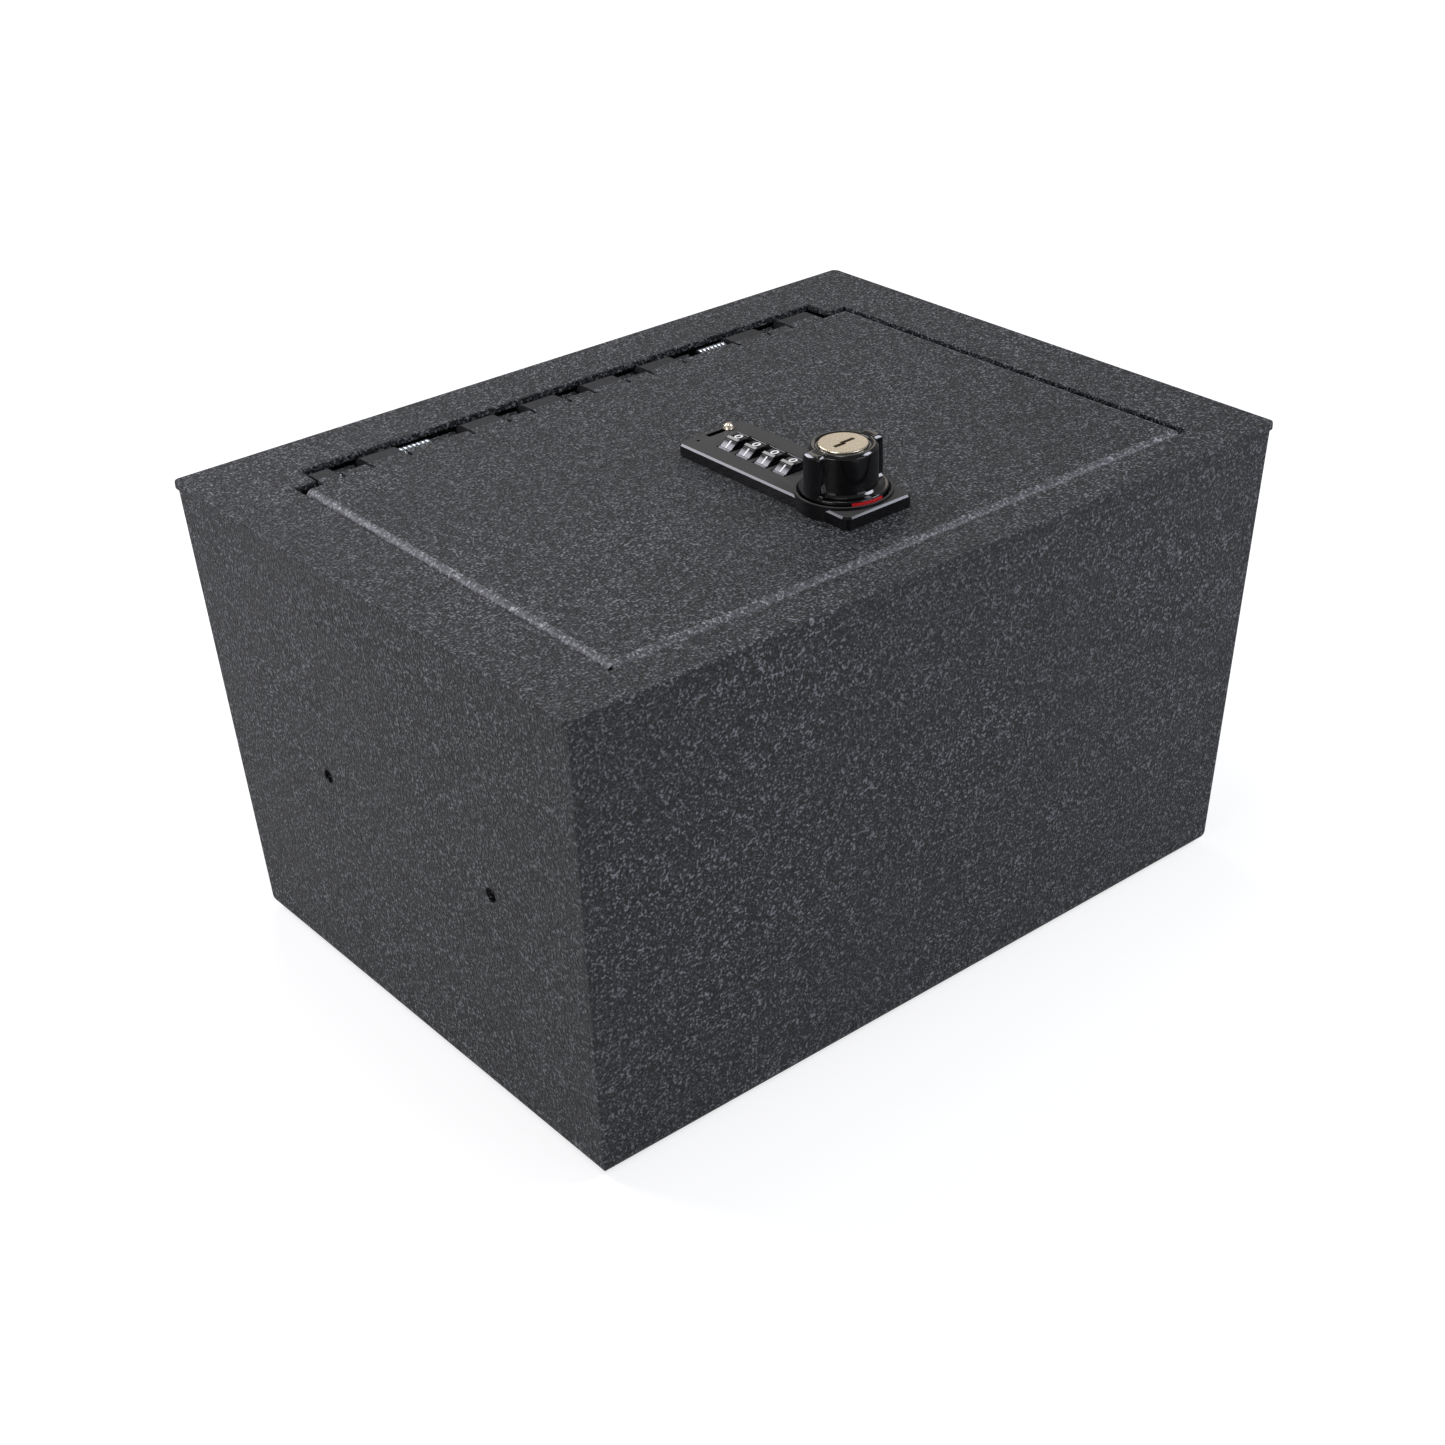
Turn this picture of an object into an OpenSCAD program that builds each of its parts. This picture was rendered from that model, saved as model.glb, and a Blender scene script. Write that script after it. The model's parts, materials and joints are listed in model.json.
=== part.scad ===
// Steel console lock box: a leaning folded pan under a rim plate, with an inset lid on an
// interleaved rolled hinge, two torsion springs and a four-dial combination cam lock.
// Millimetres, +Z up, origin on the floor under the middle of the rim plate.
// +X runs along the hinge, +Y from the lock side to the hinge side.

/* [Body] */
// Length of the body at its top
body_l = 290; // [262:1:340]
// Width of the body at its top
body_w = 216; // [206:1:260]
// Height of the body under the rim plate
body_h = 164.5; // [120:0.5:220]
// Thickness of all the sheet steel
sheet_t = 2.8; // [2.2:0.1:3.2]
// How far each end wall leans in at the bottom
lean_x = 6.4; // [1:0.1:12]
// How far the front and back walls lean in at the bottom
lean_y = 8.7; // [1:0.1:14]
// Outside radius of the bends round the bottom
bend_r = 4.5; // [3.6:0.1:9]

/* [Side fixing holes] */
// Bore of the fixing holes in the end walls
side_hole_d = 5; // [4:0.5:8]
// Distance between the two holes of an end wall
side_hole_pitch = 93; // [60:1:120]
// Height of the holes above the floor
side_hole_z = 83.5; // [40:0.5:100]
// How far the middle of the pair lies from the middle of the wall
side_hole_shift = -9.2; // [-15:0.1:15]

/* [Rim plate] */
// Overhang of the rim plate past the walls
rim_over = 1.3; // [0.6:0.1:4]
// Corner radius of the rim plate
rim_corner_r = 2.5; // [1:0.5:6]
// Width of the rim beside the lid
rim_side = 24.7; // [20:0.1:32]
// Width of the rim in front of the lid
rim_front = 14; // [13:0.1:18]
// Width of the rim behind the lid shoulders
rim_back = 33.3; // [31:0.1:40]
// Depth of the hinge slot cut into the back rim
slot_d = 11.3; // [10.8:0.1:13]
// Distance from the end of the hinge slot to the side of the opening
slot_inset = 8.3; // [5:0.1:12]

/* [Lid] */
// Gap between the lid and the rim plate
lid_gap = 1.1; // [0.6:0.1:1.6]
// Gap behind the shoulders of the lid
shoulder_gap = 4; // [3.5:0.1:5]
// Outside radius of the lid's bent edges
lid_bend_r = 3.6; // [3.3:0.1:5]
// Depth of the lid's turned-down edges
lid_flange = 10; // [6:0.1:10]
// Side of the square notch that parts the edges at a corner
corner_notch = 1.6; // [1:0.1:3]

/* [Hinge] */
// Diameter of the hinge pin
pin_d = 5; // [4:0.1:5.4]
// Radial running clearance on the pin
pin_play = 0.05; // [0.03:0.01:0.1]
// Gap between a lid knuckle and the back edge of the slot
hinge_gap = 1.15; // [0.9:0.05:1.3]
// Width of a lid knuckle
tab_w = 13.6; // [10:0.1:14]
// Sideways shift of the whole knuckle row
row_shift = -6; // [-7:0.1:0]
// Side clearance between neighbouring knuckles
knuckle_play = 0.5; // [0.3:0.05:1]
// Width and length of the relief cuts beside a lid knuckle
relief = [1.4, 4];
// Distance from the pin axis to the lid edge between knuckles
edge_setback = 4.5; // [4.2:0.1:5]
// Wrap angle of a rolled lid knuckle
lid_wrap = 270; // [240:5:290]

/* [Torsion springs] */
// Wire diameter
wire_d = 1.7; // [1.4:0.05:1.75]
// Number of full turns
spring_turns = 7; // [4:1:7]
// Radial gap between the pin and the coil
coil_gap = 0.3; // [0.2:0.05:0.5]
// Length of the leg under the lid
lid_leg = 20; // [12:0.5:24]
// Length of the leg under the rim plate
rim_leg = 13; // [10:0.5:14]

/* [Lock face] */
// Width of the lock face
lock_w = 28; // [26:0.5:32]
// Length of the lock face
lock_l = 83; // [81:0.5:90]
// Height of the lock face above the lid
lock_t = 4.2; // [3.5:0.1:5]
// Distance from the lid's front edge to the lock face
lock_inset = 18.9; // [14:0.1:22]
// Distance from the front of the lock face to the knob axis
knob_inset = 16.9; // [16:0.1:18]
// Corner radius of the lock face
lock_corner_r = 2.5; // [1:0.1:5]
// Width of the bevel round the top of the lock face
lock_bevel = 0.6; // [0.2:0.1:1]
// Outside radius of the raised ring round the knob
ring_r = 15.7; // [15.5:0.1:17]
// Height of that ring above the lock face
ring_h = 0.9; // [0.5:0.1:1.6]

/* [Dials] */
// Distance from the knob axis to the first dial
first_dial = 23.9; // [23:0.1:24.5]
// Distance from the last dial to the back of the lock face
last_dial = 15.2; // [14.4:0.1:16]
// Radius of a dial over its finger ridges
dial_r = 7.9; // [7:0.1:8]
// Height of the dial axle above the lid's top face
dial_axis_z = -0.8; // [-1.5:0.1:-0.5]
// Radius of the dial axle
axle_r = 2; // [1.5:0.1:2.4]

/* [Knob] */
// Radius of the knob's round core
knob_r = 11; // [10:0.1:12]
// Radius over the two wings and of the base disc
wing_r = 14.1; // [13.5:0.1:14.4]
// Width of a wing
wing_w = 7; // [5:0.1:9]
// Height of the knob above the lid's top face
knob_h = 20; // [16:0.1:26]
// Radius of the key cylinder
plug_r = 8; // [6.5:0.1:8.4]

/* [Cam] */
// Reach of the cam from the knob axis
cam_reach = 42; // [40:0.5:43]
// Width of the cam
cam_w = 12; // [9:0.5:14]
// Thickness of the cam
cam_t = 2.5; // [2:0.1:3]

/* [Hidden] */
$fn = 64;
over = 1;                                     // how far a cutter runs past the face it cuts

// Levels and edges that several pieces share
top_z = body_h + sheet_t;                     // top face of the rim plate and of the lid
opening_x = body_l / 2 - rim_side;
opening_front = -body_w / 2 + rim_front;
opening_back = body_w / 2 - rim_back;
slot_x = opening_x - slot_inset;
slot_back = opening_back + slot_d;
lid_x = opening_x - lid_gap;
lid_front = opening_front + lid_gap;
shoulder_back = opening_back - shoulder_gap;

// Hinge
pin_r = pin_d / 2;
eye_r = pin_r + pin_play;                     // bore of every knuckle
knuckle_r = eye_r + sheet_t;
axis_y = slot_back - knuckle_r - hinge_gap;
axis_z = top_z - knuckle_r;
lid_edge = axis_y - edge_setback;             // lid edge between the knuckles
coil_r = pin_r + coil_gap + wire_d / 2;       // radius of the coil's centre line
coil_pitch = 1.03 * wire_d;
tabs = 8;
row_play = 0.9;

// Torsion spring, worked out round the pin axis: a straight leg, a close coil, a second leg.
// A leg lies against the sheet above it, so its centre line is under the face by one radius.
leg_z = eye_r - wire_d / 2 - 0.05;
function leg_angle(y) = atan2(leg_z, y);
function leg_offset(y) = acos(coil_r / norm([y, leg_z]));
coil_from = leg_angle(-lid_leg) + leg_offset(-lid_leg);
coil_to = 360 * spring_turns + 360 + leg_angle(rim_leg) - leg_offset(rim_leg);
coil_rise = coil_pitch * (coil_to - coil_from) / 360;
pocket_w = ceil(10 * (coil_rise + wire_d) + 3) / 10;   // room for a spring in the row

tab_pitch = (2 * slot_x - row_play - tab_w - 2 * pocket_w) / (tabs - 1);
pockets_before = [0, 0, 1, 1, 1, 1, 2, 2];    // springs passed on the way to each lid knuckle
end_play = 0.7;
pin_over = 0.4;
leaf_reach = 17;                              // from the pin axis to the leaf's upright
leaf_clear = 0.65;
spring_notch = 8;
hook_open = [25, 158];                        // angles between which a frame hook is open

// Knuckles start on whole hundredths of a millimetre
function tab_x(i) = round(100 * (-(2 * slot_x - row_play) / 2 + row_shift
    + i * tab_pitch + pockets_before[i] * pocket_w)) / 100;
function tab_from(i) = max(tab_x(i), -slot_x + end_play);
function tab_to(i) = min(tab_x(i) + tab_w, slot_x - end_play);
row_from = tab_from(0);
row_to = tab_to(tabs - 1);
spring_x = [tab_to(1) + knuckle_play / 2, tab_from(6) - knuckle_play / 2];

// Lock, measured from the knob axis on the lid's top face
knob_y = lid_front + lock_inset + knob_inset;
lock_front = -knob_inset;
lock_back = lock_front + lock_l;
case_play = 0.35;
dials = 4;
dial_pitch = (lock_l - knob_inset - first_dial - last_dial) / (dials - 1);
dial_w = 2 / 3 * dial_pitch;
dial_flat = dial_r * cos(18);                 // from the axle to a digit flat
ridge_r = 0.45;
dial_sweep = dial_r + 0.2;
window_r = dial_sweep + case_play;
window_w = dial_w + dial_pitch / 9;
case_wall = 1.3;
case_w = 2 * (window_r + case_wall);
bar_w = 3;
bar_h = 2;
bar_play = 0.15;
bar_travel = 1.5;
case_end = 4;
case_front = first_dial - window_w / 2 - case_end;
collar_room = first_dial - dial_w / 2 - 2.6;  // front of the room for the first collar
case_back = lock_back - 1;
case_h = dial_sweep - dial_axis_z + bar_h + 2 * bar_play;
cover_t = 1.2;
cover_inset = 2.2;
stem_r = 9.5;
stem_len = 13.3;
neck_x = 3.5;                                 // half width of the neck from stem to case
clip_t = 2;
groove_r = 8.4;
recess_r = wing_r + 0.75;
recess_z = lock_t - 0.9;
disc_top = lock_t + 2.2;
spigot_r = 7.5;
spigot_play = 0.05;
plug_play = 0.05;
plug_z = disc_top + 0.6;
tail_r = 4;
stud = 6.9;
washer_t = 0.7;
cam_z = -stem_len - washer_t - 0.1;           // top face of the cam
cam_bore = 7.1;
screw_r = 2.4;
slider_y = lock_back - 2.9;
slider_x = 5.8;
slot_w = 2.2;
slider_travel = 8;
mark_from = 238;
mark_span = 44;

// Keeper under the front rim
keeper_w = 44;
keeper_gap = 0.5;
keeper_wall_gap = 1.6;
keeper_back = 5;                              // how far the keeper's foot passes the lid edge

steel = [0.16, 0.17, 0.17];
bright = [0.72, 0.73, 0.74];
cast = [0.3, 0.31, 0.31];
gloss = [0.05, 0.05, 0.06];

// A profile drawn in X and Z, run from y0 to y1
module along_y(y0, y1) {
    translate([0, y1, 0]) rotate([90, 0, 0]) linear_extrude(y1 - y0) children();
}

// A profile drawn in Y and Z, run from x0 to x1
module along_x(x0, x1) {
    translate([x0, 0, 0]) rotate([90, 0, 90]) linear_extrude(x1 - x0) children();
}

module round_rect(l, w, r) {
    square([l - 2 * r, w], center = true);
    square([l, w - 2 * r], center = true);
    for (x = [-1, 1], y = [-1, 1]) translate([x * (l / 2 - r), y * (w / 2 - r)]) circle(r);
}

// Leaning walls joined to a flat bottom by bends of radius r, as a filled outline
module leaning_outline(bottom, top, h, r) {
    a = atan((top - bottom) / h);
    bend_x = bottom - r * (1 - sin(a)) / cos(a);
    wall_x = bend_x + r * cos(a);
    wall_z = r * (1 - sin(a));
    polygon([[-bend_x, 0], [bend_x, 0], [wall_x, wall_z], [top, h],
        [-top, h], [-wall_x, wall_z]]);
    for (x = [-bend_x, bend_x]) translate([x, r]) circle(r);
}

function half_at(z, full, lean) = full / 2 - lean * (1 - z / body_h);

// The pan's outside (inset 0) or inside (inset of one sheet)
module pan_solid(inset, top) {
    r = bend_r - inset;
    intersection() {
        along_y(-body_w, body_w) translate([0, inset])
            leaning_outline(half_at(inset, body_l, lean_x) - inset,
                half_at(top, body_l, lean_x) - inset, top - inset, r);
        along_x(-body_l, body_l) translate([0, inset])
            leaning_outline(half_at(inset, body_w, lean_y) - inset,
                half_at(top, body_w, lean_y) - inset, top - inset, r);
    }
}

module body_pan() {
    color(steel) difference() {
        pan_solid(0, body_h);
        pan_solid(sheet_t, body_h + over);
        // the two end walls are punched alike, so from above the pairs are half a turn apart
        for (turn = [0, 180], y = [-1, 1]) rotate([0, 0, turn])
            translate([-body_l / 2 - over, side_hole_shift + y * side_hole_pitch / 2, side_hole_z])
                rotate([0, 90, 0]) cylinder(d = side_hole_d, h = body_l / 4);
    }
}

module top_frame() {
    color(steel) translate([0, 0, body_h]) linear_extrude(sheet_t) difference() {
        round_rect(body_l + 2 * rim_over, body_w + 2 * rim_over, rim_corner_r);
        translate([-opening_x, opening_front])
            square([2 * opening_x, opening_back - opening_front]);
        translate([-slot_x, opening_front])
            square([2 * slot_x, slot_back - opening_front]);
    }
}

// Ring round the pin, open between two angles
module open_eye(from, to) {
    reach = 2 * knuckle_r;
    steps = 6;
    difference() {
        circle(knuckle_r);
        circle(eye_r);
        polygon(concat([[0, 0]], [for (i = [0:steps]) let (a = from + (to - from) * i / steps)
            reach * [cos(a), sin(a)]]));
    }
}

// Lid knuckle: the sheet runs back to the pin and rolls down round it
module lid_knuckle(x0, x1) {
    translate([0, axis_y, axis_z]) along_x(x0, x1) {
        open_eye(90, 90 + 360 - lid_wrap);
        translate([-edge_setback, eye_r]) square([edge_setback, sheet_t]);
    }
}

// The lid's outside (inset 0) or inside (inset of one sheet), open at the back
module lid_solid(inset) {
    r = lid_bend_r - inset;
    low = -lid_flange - (inset > 0 ? over : 0);
    x = lid_x - inset;
    front = lid_front + inset;
    back = shoulder_back + (inset > 0 ? over : 0);
    intersection() {
        along_y(front, back) {
            translate([-x, low]) square([2 * x, -inset - r - low]);
            translate([-x + r, low]) square([2 * (x - r), -inset - low]);
            for (s = [-1, 1]) translate([s * (x - r), -inset - r]) circle(r);
        }
        along_x(-x, x) {
            translate([front, low]) square([back - front, -inset - r - low]);
            translate([front + r, low]) square([back - front - r, -inset - low]);
            translate([front + r, -inset - r]) circle(r);
        }
    }
}

module lid_panel() {
    color(steel) {
        difference() {
            union() {
                translate([0, 0, top_z]) difference() {
                    lid_solid(0);
                    lid_solid(sheet_t);
                }
                translate([row_from, shoulder_back - over, top_z - sheet_t])
                    cube([row_to - row_from, lid_edge - shoulder_back + over, sheet_t]);
                for (i = [0:tabs - 1]) lid_knuckle(tab_from(i), tab_to(i));
            }
            for (i = [0:tabs - 1], x = [tab_from(i) - relief[0], tab_to(i)])
                translate([x, lid_edge - relief[1], top_z - sheet_t - over])
                    cube([relief[0], relief[1] + over, sheet_t + 2 * over]);
            for (s = [-1, 1])
                translate([s * lid_x, lid_front, top_z])
                    cube([2 * corner_notch, 2 * corner_notch, 3 * lid_flange], center = true);
            translate([0, knob_y, top_z - sheet_t - over]) {
                cylinder(r = stem_r + case_play, h = sheet_t + 2 * over);
                translate([-neck_x - case_play, 0, 0])
                    cube([2 * (neck_x + case_play), case_front, sheet_t + 2 * over]);
                translate([-case_w / 2 - case_play, case_front - case_play, 0])
                    cube([case_w + 2 * case_play, case_back - case_front + 2 * case_play,
                        sheet_t + 2 * over]);
            }
        }
    }
}

// Leaf welded under the back rim: its hooks hold the pin from below, between the lid knuckles
module hinge_leaf() {
    front = -knuckle_r - over;
    color(steel) translate([0, axis_y, axis_z]) difference() {
        along_x(row_from, row_to) {
            open_eye(hook_open[0], hook_open[1]);
            translate([0, -knuckle_r]) square([leaf_reach, sheet_t]);
            translate([leaf_reach - sheet_t, -knuckle_r])
                square([sheet_t, 2 * knuckle_r - sheet_t]);
        }
        for (i = [0:tabs - 1])
            translate([tab_from(i) - knuckle_play, front, front])
                cube([tab_to(i) - tab_from(i) + 2 * knuckle_play,
                    knuckle_r + leaf_clear - front, -2 * front]);
        for (s = [0, 1])
            translate([spring_x[s] - (s == 0 ? knuckle_play : pocket_w), front, front])
                cube([pocket_w + knuckle_play, spring_notch - front, -2 * front]);
    }
}

module hinge_pin() {
    color(bright) translate([row_from - pin_over, axis_y, axis_z]) rotate([0, 90, 0])
        cylinder(r = pin_r, h = row_to - row_from + 2 * pin_over);
}

coil_steps = 18;
coil_n = round(coil_steps * (coil_to - coil_from) / 360);
leg_n = 3;
wire_sides = 8;
function coil_point(i) = let (a = coil_from + (coil_to - coil_from) * i / coil_n)
    [wire_d / 2 + coil_rise * i / coil_n, coil_r * cos(a), coil_r * sin(a)];
function blend(a, b, n) = [for (i = [0:n - 1]) a + (b - a) * i / n];
spring_path = concat(
    blend([wire_d / 2, -lid_leg, leg_z], coil_point(0), leg_n),
    [for (i = [0:coil_n]) coil_point(i)],
    [for (p = blend([wire_d / 2 + coil_rise, rim_leg, leg_z], coil_point(coil_n), leg_n)) p]);

// The last leg is listed tip first, so its points are turned round
function turned(list, n) = concat([for (i = [0:len(list) - n - 1]) list[i]],
    [for (i = [1:n]) list[len(list) - i]]);

module swept_wire(path, r) {
    n = len(path);
    rings = [for (i = [0:n - 1])
        let (t = path[min(i + 1, n - 1)] - path[max(i - 1, 0)],
            u = t / norm(t),
            side = [1, 0, 0] - u * u[0],
            v = side / norm(side),
            w = cross(u, v))
        for (k = [0:wire_sides - 1]) let (a = 360 * k / wire_sides)
            path[i] + r * (cos(a) * v + sin(a) * w)];
    walls = [for (i = [0:n - 2], k = [0:wire_sides - 1])
        let (a = i * wire_sides + k, b = i * wire_sides + (k + 1) % wire_sides)
        [a, a + wire_sides, b + wire_sides, b]];
    start = [[for (k = [0:wire_sides - 1]) k]];
    end = [[for (k = [wire_sides - 1:-1:0]) (n - 1) * wire_sides + k]];
    polyhedron(points = rings, faces = concat(walls, start, end), convexity = 10);
}

module torsion_spring() {
    color(bright) swept_wire(turned(spring_path, leg_n), wire_d / 2);
}

module torsion_spring_left() {
    translate([spring_x[0], axis_y, axis_z]) torsion_spring();
}

module torsion_spring_right() {
    translate([spring_x[1], axis_y, axis_z]) mirror([1, 0, 0]) torsion_spring();
}

// Angle welded under the front rim, for the cam to pass beneath
module strike_keeper() {
    foot_z = cam_z + keeper_gap;
    leg_y = -half_at(body_h - lid_flange, body_w, lean_y) + sheet_t + keeper_wall_gap;
    color(steel) translate([0, 0, top_z]) along_x(-keeper_w / 2, keeper_w / 2) {
        translate([leg_y, foot_z]) square([sheet_t, -sheet_t - foot_z]);
        translate([leg_y, foot_z]) square([lid_front + keeper_back - leg_y, sheet_t]);
    }
}

// Everything on the lock is placed from the knob axis on the lid's top face
module at_lock() {
    translate([0, knob_y, top_z]) children();
}

module at_dial(i) {
    at_lock() translate([0, first_dial + i * dial_pitch, dial_axis_z]) rotate([90, 0, 0])
        children();
}

// Face plate with round corners and a bevel round its top
module lock_face() {
    x = lock_w / 2;
    r = lock_corner_r;
    low = lock_t - lock_bevel;
    top = x - lock_bevel;
    y0 = lock_front + lock_bevel;
    y1 = lock_back - lock_bevel;
    along_y(lock_front + r, lock_back - r)
        polygon([[-x, 0], [x, 0], [x, low], [top, lock_t], [-top, lock_t], [-x, low]]);
    along_x(-x + r, x - r)
        polygon([[lock_front, 0], [lock_back, 0], [lock_back, low], [y1, lock_t], [y0, lock_t],
            [lock_front, low]]);
    for (sx = [-1, 1], y = [lock_front + r, lock_back - r]) translate([sx * (x - r), y, 0]) {
        cylinder(r = r, h = low);
        translate([0, 0, low]) cylinder(r1 = r, r2 = r - lock_bevel, h = lock_bevel);
    }
}

module lock_body() {
    inner_w = 2 * window_r;
    color(cast) difference() {
        at_lock() union() {
            lock_face();
            cylinder(r = ring_r, h = lock_t + ring_h);
            translate([-case_w / 2, case_front, -case_h])
                cube([case_w, case_back - case_front, case_h + over]);
            translate([0, 0, -stem_len]) cylinder(r = stem_r, h = stem_len + over);
            translate([-neck_x, stem_r / 2, -case_h])
                cube([2 * neck_x, case_front - stem_r / 2 + over, case_h + over]);
        }
        at_lock() {
            // groove for the clip, left whole where the neck joins the stem
            translate([0, 0, -sheet_t - clip_t - 0.1]) difference() {
                cylinder(r = stem_r + over, h = clip_t + 0.1);
                translate([0, 0, -over]) cylinder(r = groove_r, h = clip_t + 3 * over);
                translate([-neck_x, 0, -over]) cube([2 * neck_x, 2 * stem_r, clip_t + 3 * over]);
            }
            // channel of the locking bar, open to the cover
            translate([-bar_w / 2 - bar_play, spigot_r - over, -case_h - over])
                cube([bar_w + 2 * bar_play, collar_room - spigot_r + 2 * over,
                    bar_h + over + 2 * bar_play]);
            translate([0, 0, recess_z]) cylinder(r = recess_r, h = lock_t + ring_h);
            translate([0, 0, -stem_len - over])
                cylinder(r = spigot_r + spigot_play, h = stem_len + lock_t + over);
            translate([-inner_w / 2, case_front + case_end, -case_h - over])
                cube([inner_w, dials_end - case_front - case_end, case_h + over + lock_t / 3]);
            // room for the collars of the code sleeves
            translate([-collar_r, collar_room, -case_h - over])
                cube([2 * collar_r, case_end, case_h + over + dial_axis_z]);
            translate([0, collar_room, dial_axis_z]) rotate([-90, 0, 0])
                cylinder(r = collar_r, h = dials_end - collar_room);
            translate([slider_x - slider_travel - slot_w / 2, slider_y - slot_w / 2, 0])
                cube([slider_travel + slot_w, slot_w, lock_t + over]);
            translate([slider_x - slider_l / 2 - slider_travel - slider_play,
                slider_y - slider_w / 2 - slider_play, -case_h - over])
                cube([slider_l + slider_travel + 2 * slider_play, slider_w + 2 * slider_play,
                    case_h + over + lock_t / 3]);
            translate([-8, slider_y - 1, lock_t - 1.2]) cylinder(r = 0.6, h = 2, $fn = 24);
            for (x = [-1, 1], y = [case_front + cover_inset, screw_back])
                translate([x * cover_screw_x, y, -case_h - over])
                    cylinder(r = cover_screw_r, h = cover_screw_l + over, $fn = 24);
        }
        for (i = [0:dials - 1]) at_dial(i) cylinder(r = window_r, h = window_w, center = true);
        at_lock() translate([0, axle_front, dial_axis_z]) rotate([-90, 0, 0])
            cylinder(r = axle_r, h = axle_l);
    }
}

slider_l = 6;
slider_w = 2.4;
slider_play = 0.3;
dials_end = first_dial + (dials - 1) * dial_pitch + window_w / 2;
screw_back = dials_end + 2.2;
cover_screw_x = 6.5;
cover_screw_r = 1.1;
cover_screw_l = 7;
cover_head_r = 2;
cover_head_t = 1.3;
axle_front = case_front + 0.3;
axle_l = dials_end + 2.5 - axle_front;

module dial_axle() {
    color(bright) at_lock() translate([0, axle_front, dial_axis_z]) rotate([-90, 0, 0])
        cylinder(r = axle_r, h = axle_l);
}

module lock_back_cover() {
    color(bright) at_lock() translate([0, 0, -case_h - cover_t]) difference() {
        union() {
            translate([-case_w / 2, case_front, 0])
                cube([case_w, case_back - case_front, cover_t]);
            translate([-neck_x, stem_r + 0.1, 0]) cube([2 * neck_x, case_front - stem_r, cover_t]);
        }
        for (x = [-1, 1], y = [case_front + cover_inset, screw_back])
            translate([x * cover_screw_x, y, -over])
                cylinder(r = cover_screw_r + 0.2, h = cover_t + 2 * over, $fn = 24);
    }
}

module cover_screws() {
    color(bright) at_lock()
        for (x = [-1, 1], y = [case_front + cover_inset, screw_back])
            translate([x * cover_screw_x, y, -case_h - cover_t]) {
                translate([0, 0, -cover_head_t])
                    cylinder(r = cover_head_r, h = cover_head_t, $fn = 24);
                cylinder(r = cover_screw_r, h = cover_t + cover_screw_l - 0.5, $fn = 24);
            }
}

// Horseshoe clip, pushed on from the front, that holds the lock up against the lid
module stem_clip() {
    out = 15;
    color(bright) at_lock() translate([0, 0, -sheet_t - clip_t]) difference() {
        translate([-out, -out, 0]) cube([2 * out, out + stem_r, clip_t]);
        translate([0, 0, -over]) cylinder(r = groove_r + 0.1, h = clip_t + 2 * over);
        translate([-groove_r - 0.1, 0, -over])
            cube([2 * groove_r + 0.2, out + stem_r, clip_t + 2 * over]);
    }
}

// Upright comb beside the dials, with one finger on the ridges of each
module detent_spring() {
    leaf_t = 0.3;
    finger = 3;
    root = 3.2;
    color(bright) at_lock() translate([-window_r, 0, -case_h]) {
        translate([0, first_dial - dial_w / 2, 0])
            cube([leaf_t, (dials - 1) * dial_pitch + dial_w, root]);
        for (i = [0:dials - 1]) translate([0, first_dial + i * dial_pitch - finger / 2, 0])
            cube([leaf_t, finger, case_h + dial_axis_z + 1]);
    }
}

// Bar that slides along under the dials when the knob turns: its nose rides on the knob's
// spigot and each fin passes through the gate of a code sleeve
module locking_bar() {
    nose_r = 1;
    y0 = spigot_r + 0.1;
    z0 = -case_h + bar_play;
    color(bright) at_lock() {
        translate([0, y0 + nose_r, z0]) cylinder(r = nose_r, h = bar_h, $fn = 32);
        translate([-nose_r, y0 + nose_r, z0]) cube([2 * nose_r, bar_w, bar_h]);
        translate([-bar_w / 2, y0 + bar_w, z0]) cube([bar_w, bar_end - y0 - bar_w, bar_h]);
        for (i = [0:dials - 1]) translate([-fin_w / 2, fin_y(i), z0 + bar_h / 2])
            cube([fin_w, fin_t, dial_axis_z - neck_r - 0.2 - z0 - bar_h / 2]);
    }
}

// Small coil that keeps the bar's nose on the spigot
module bar_spring() {
    r = bar_h / 2 - 0.25;
    room = dials_end - bar_end;
    turns = 5;
    steps = 12;
    wire = 0.36;
    coil_l = room - wire;
    z0 = -case_h + bar_play + bar_h / 2;
    path = [for (i = [0:turns * steps]) let (a = 360 * i / steps)
        [wire / 2 + coil_l * i / (turns * steps), r * cos(a), r * sin(a)]];
    color(bright) at_lock() translate([0, bar_end, z0]) rotate([0, 0, 90])
        swept_wire(path, wire / 2);
}

module open_mark() {
    color("red") at_lock() translate([0, 0, recess_z]) rotate([0, 0, mark_from])
        rotate_extrude(angle = mark_span) translate([wing_r + 0.15, 0])
            square([recess_r - wing_r - 0.25, lock_t + 0.7 - recess_z]);
}

module code_slider() {
    color(bright) at_lock() {
        translate([slider_x - slider_l / 2, slider_y - slider_w / 2, lock_t / 3 - 1.3])
            cube([slider_l, slider_w, 1.2]);
        translate([slider_x, slider_y, 0]) cylinder(r = 0.95, h = lock_t + 0.6, $fn = 32);
        translate([slider_x, slider_y, lock_t + 0.15]) cylinder(r1 = 1.9, r2 = 1.5, h = 1.2);
        translate([slider_x, slider_y, lock_t + 1.35]) cylinder(r1 = 1.5, r2 = 0.7, h = 0.6);
    }
}

// Ten digit flats with a finger ridge between neighbours
module dial_wheel(i) {
    color(gloss) at_dial(i) difference() {
        linear_extrude(dial_w, center = true) {
            circle(dial_r, $fn = 10);
            for (k = [0:9]) rotate(36 * k) translate([dial_r - ridge_r + 0.2, 0])
                circle(ridge_r, $fn = 20);
        }
        cylinder(r = sleeve_r, h = dial_w + 2 * over, center = true);
    }
}

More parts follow.
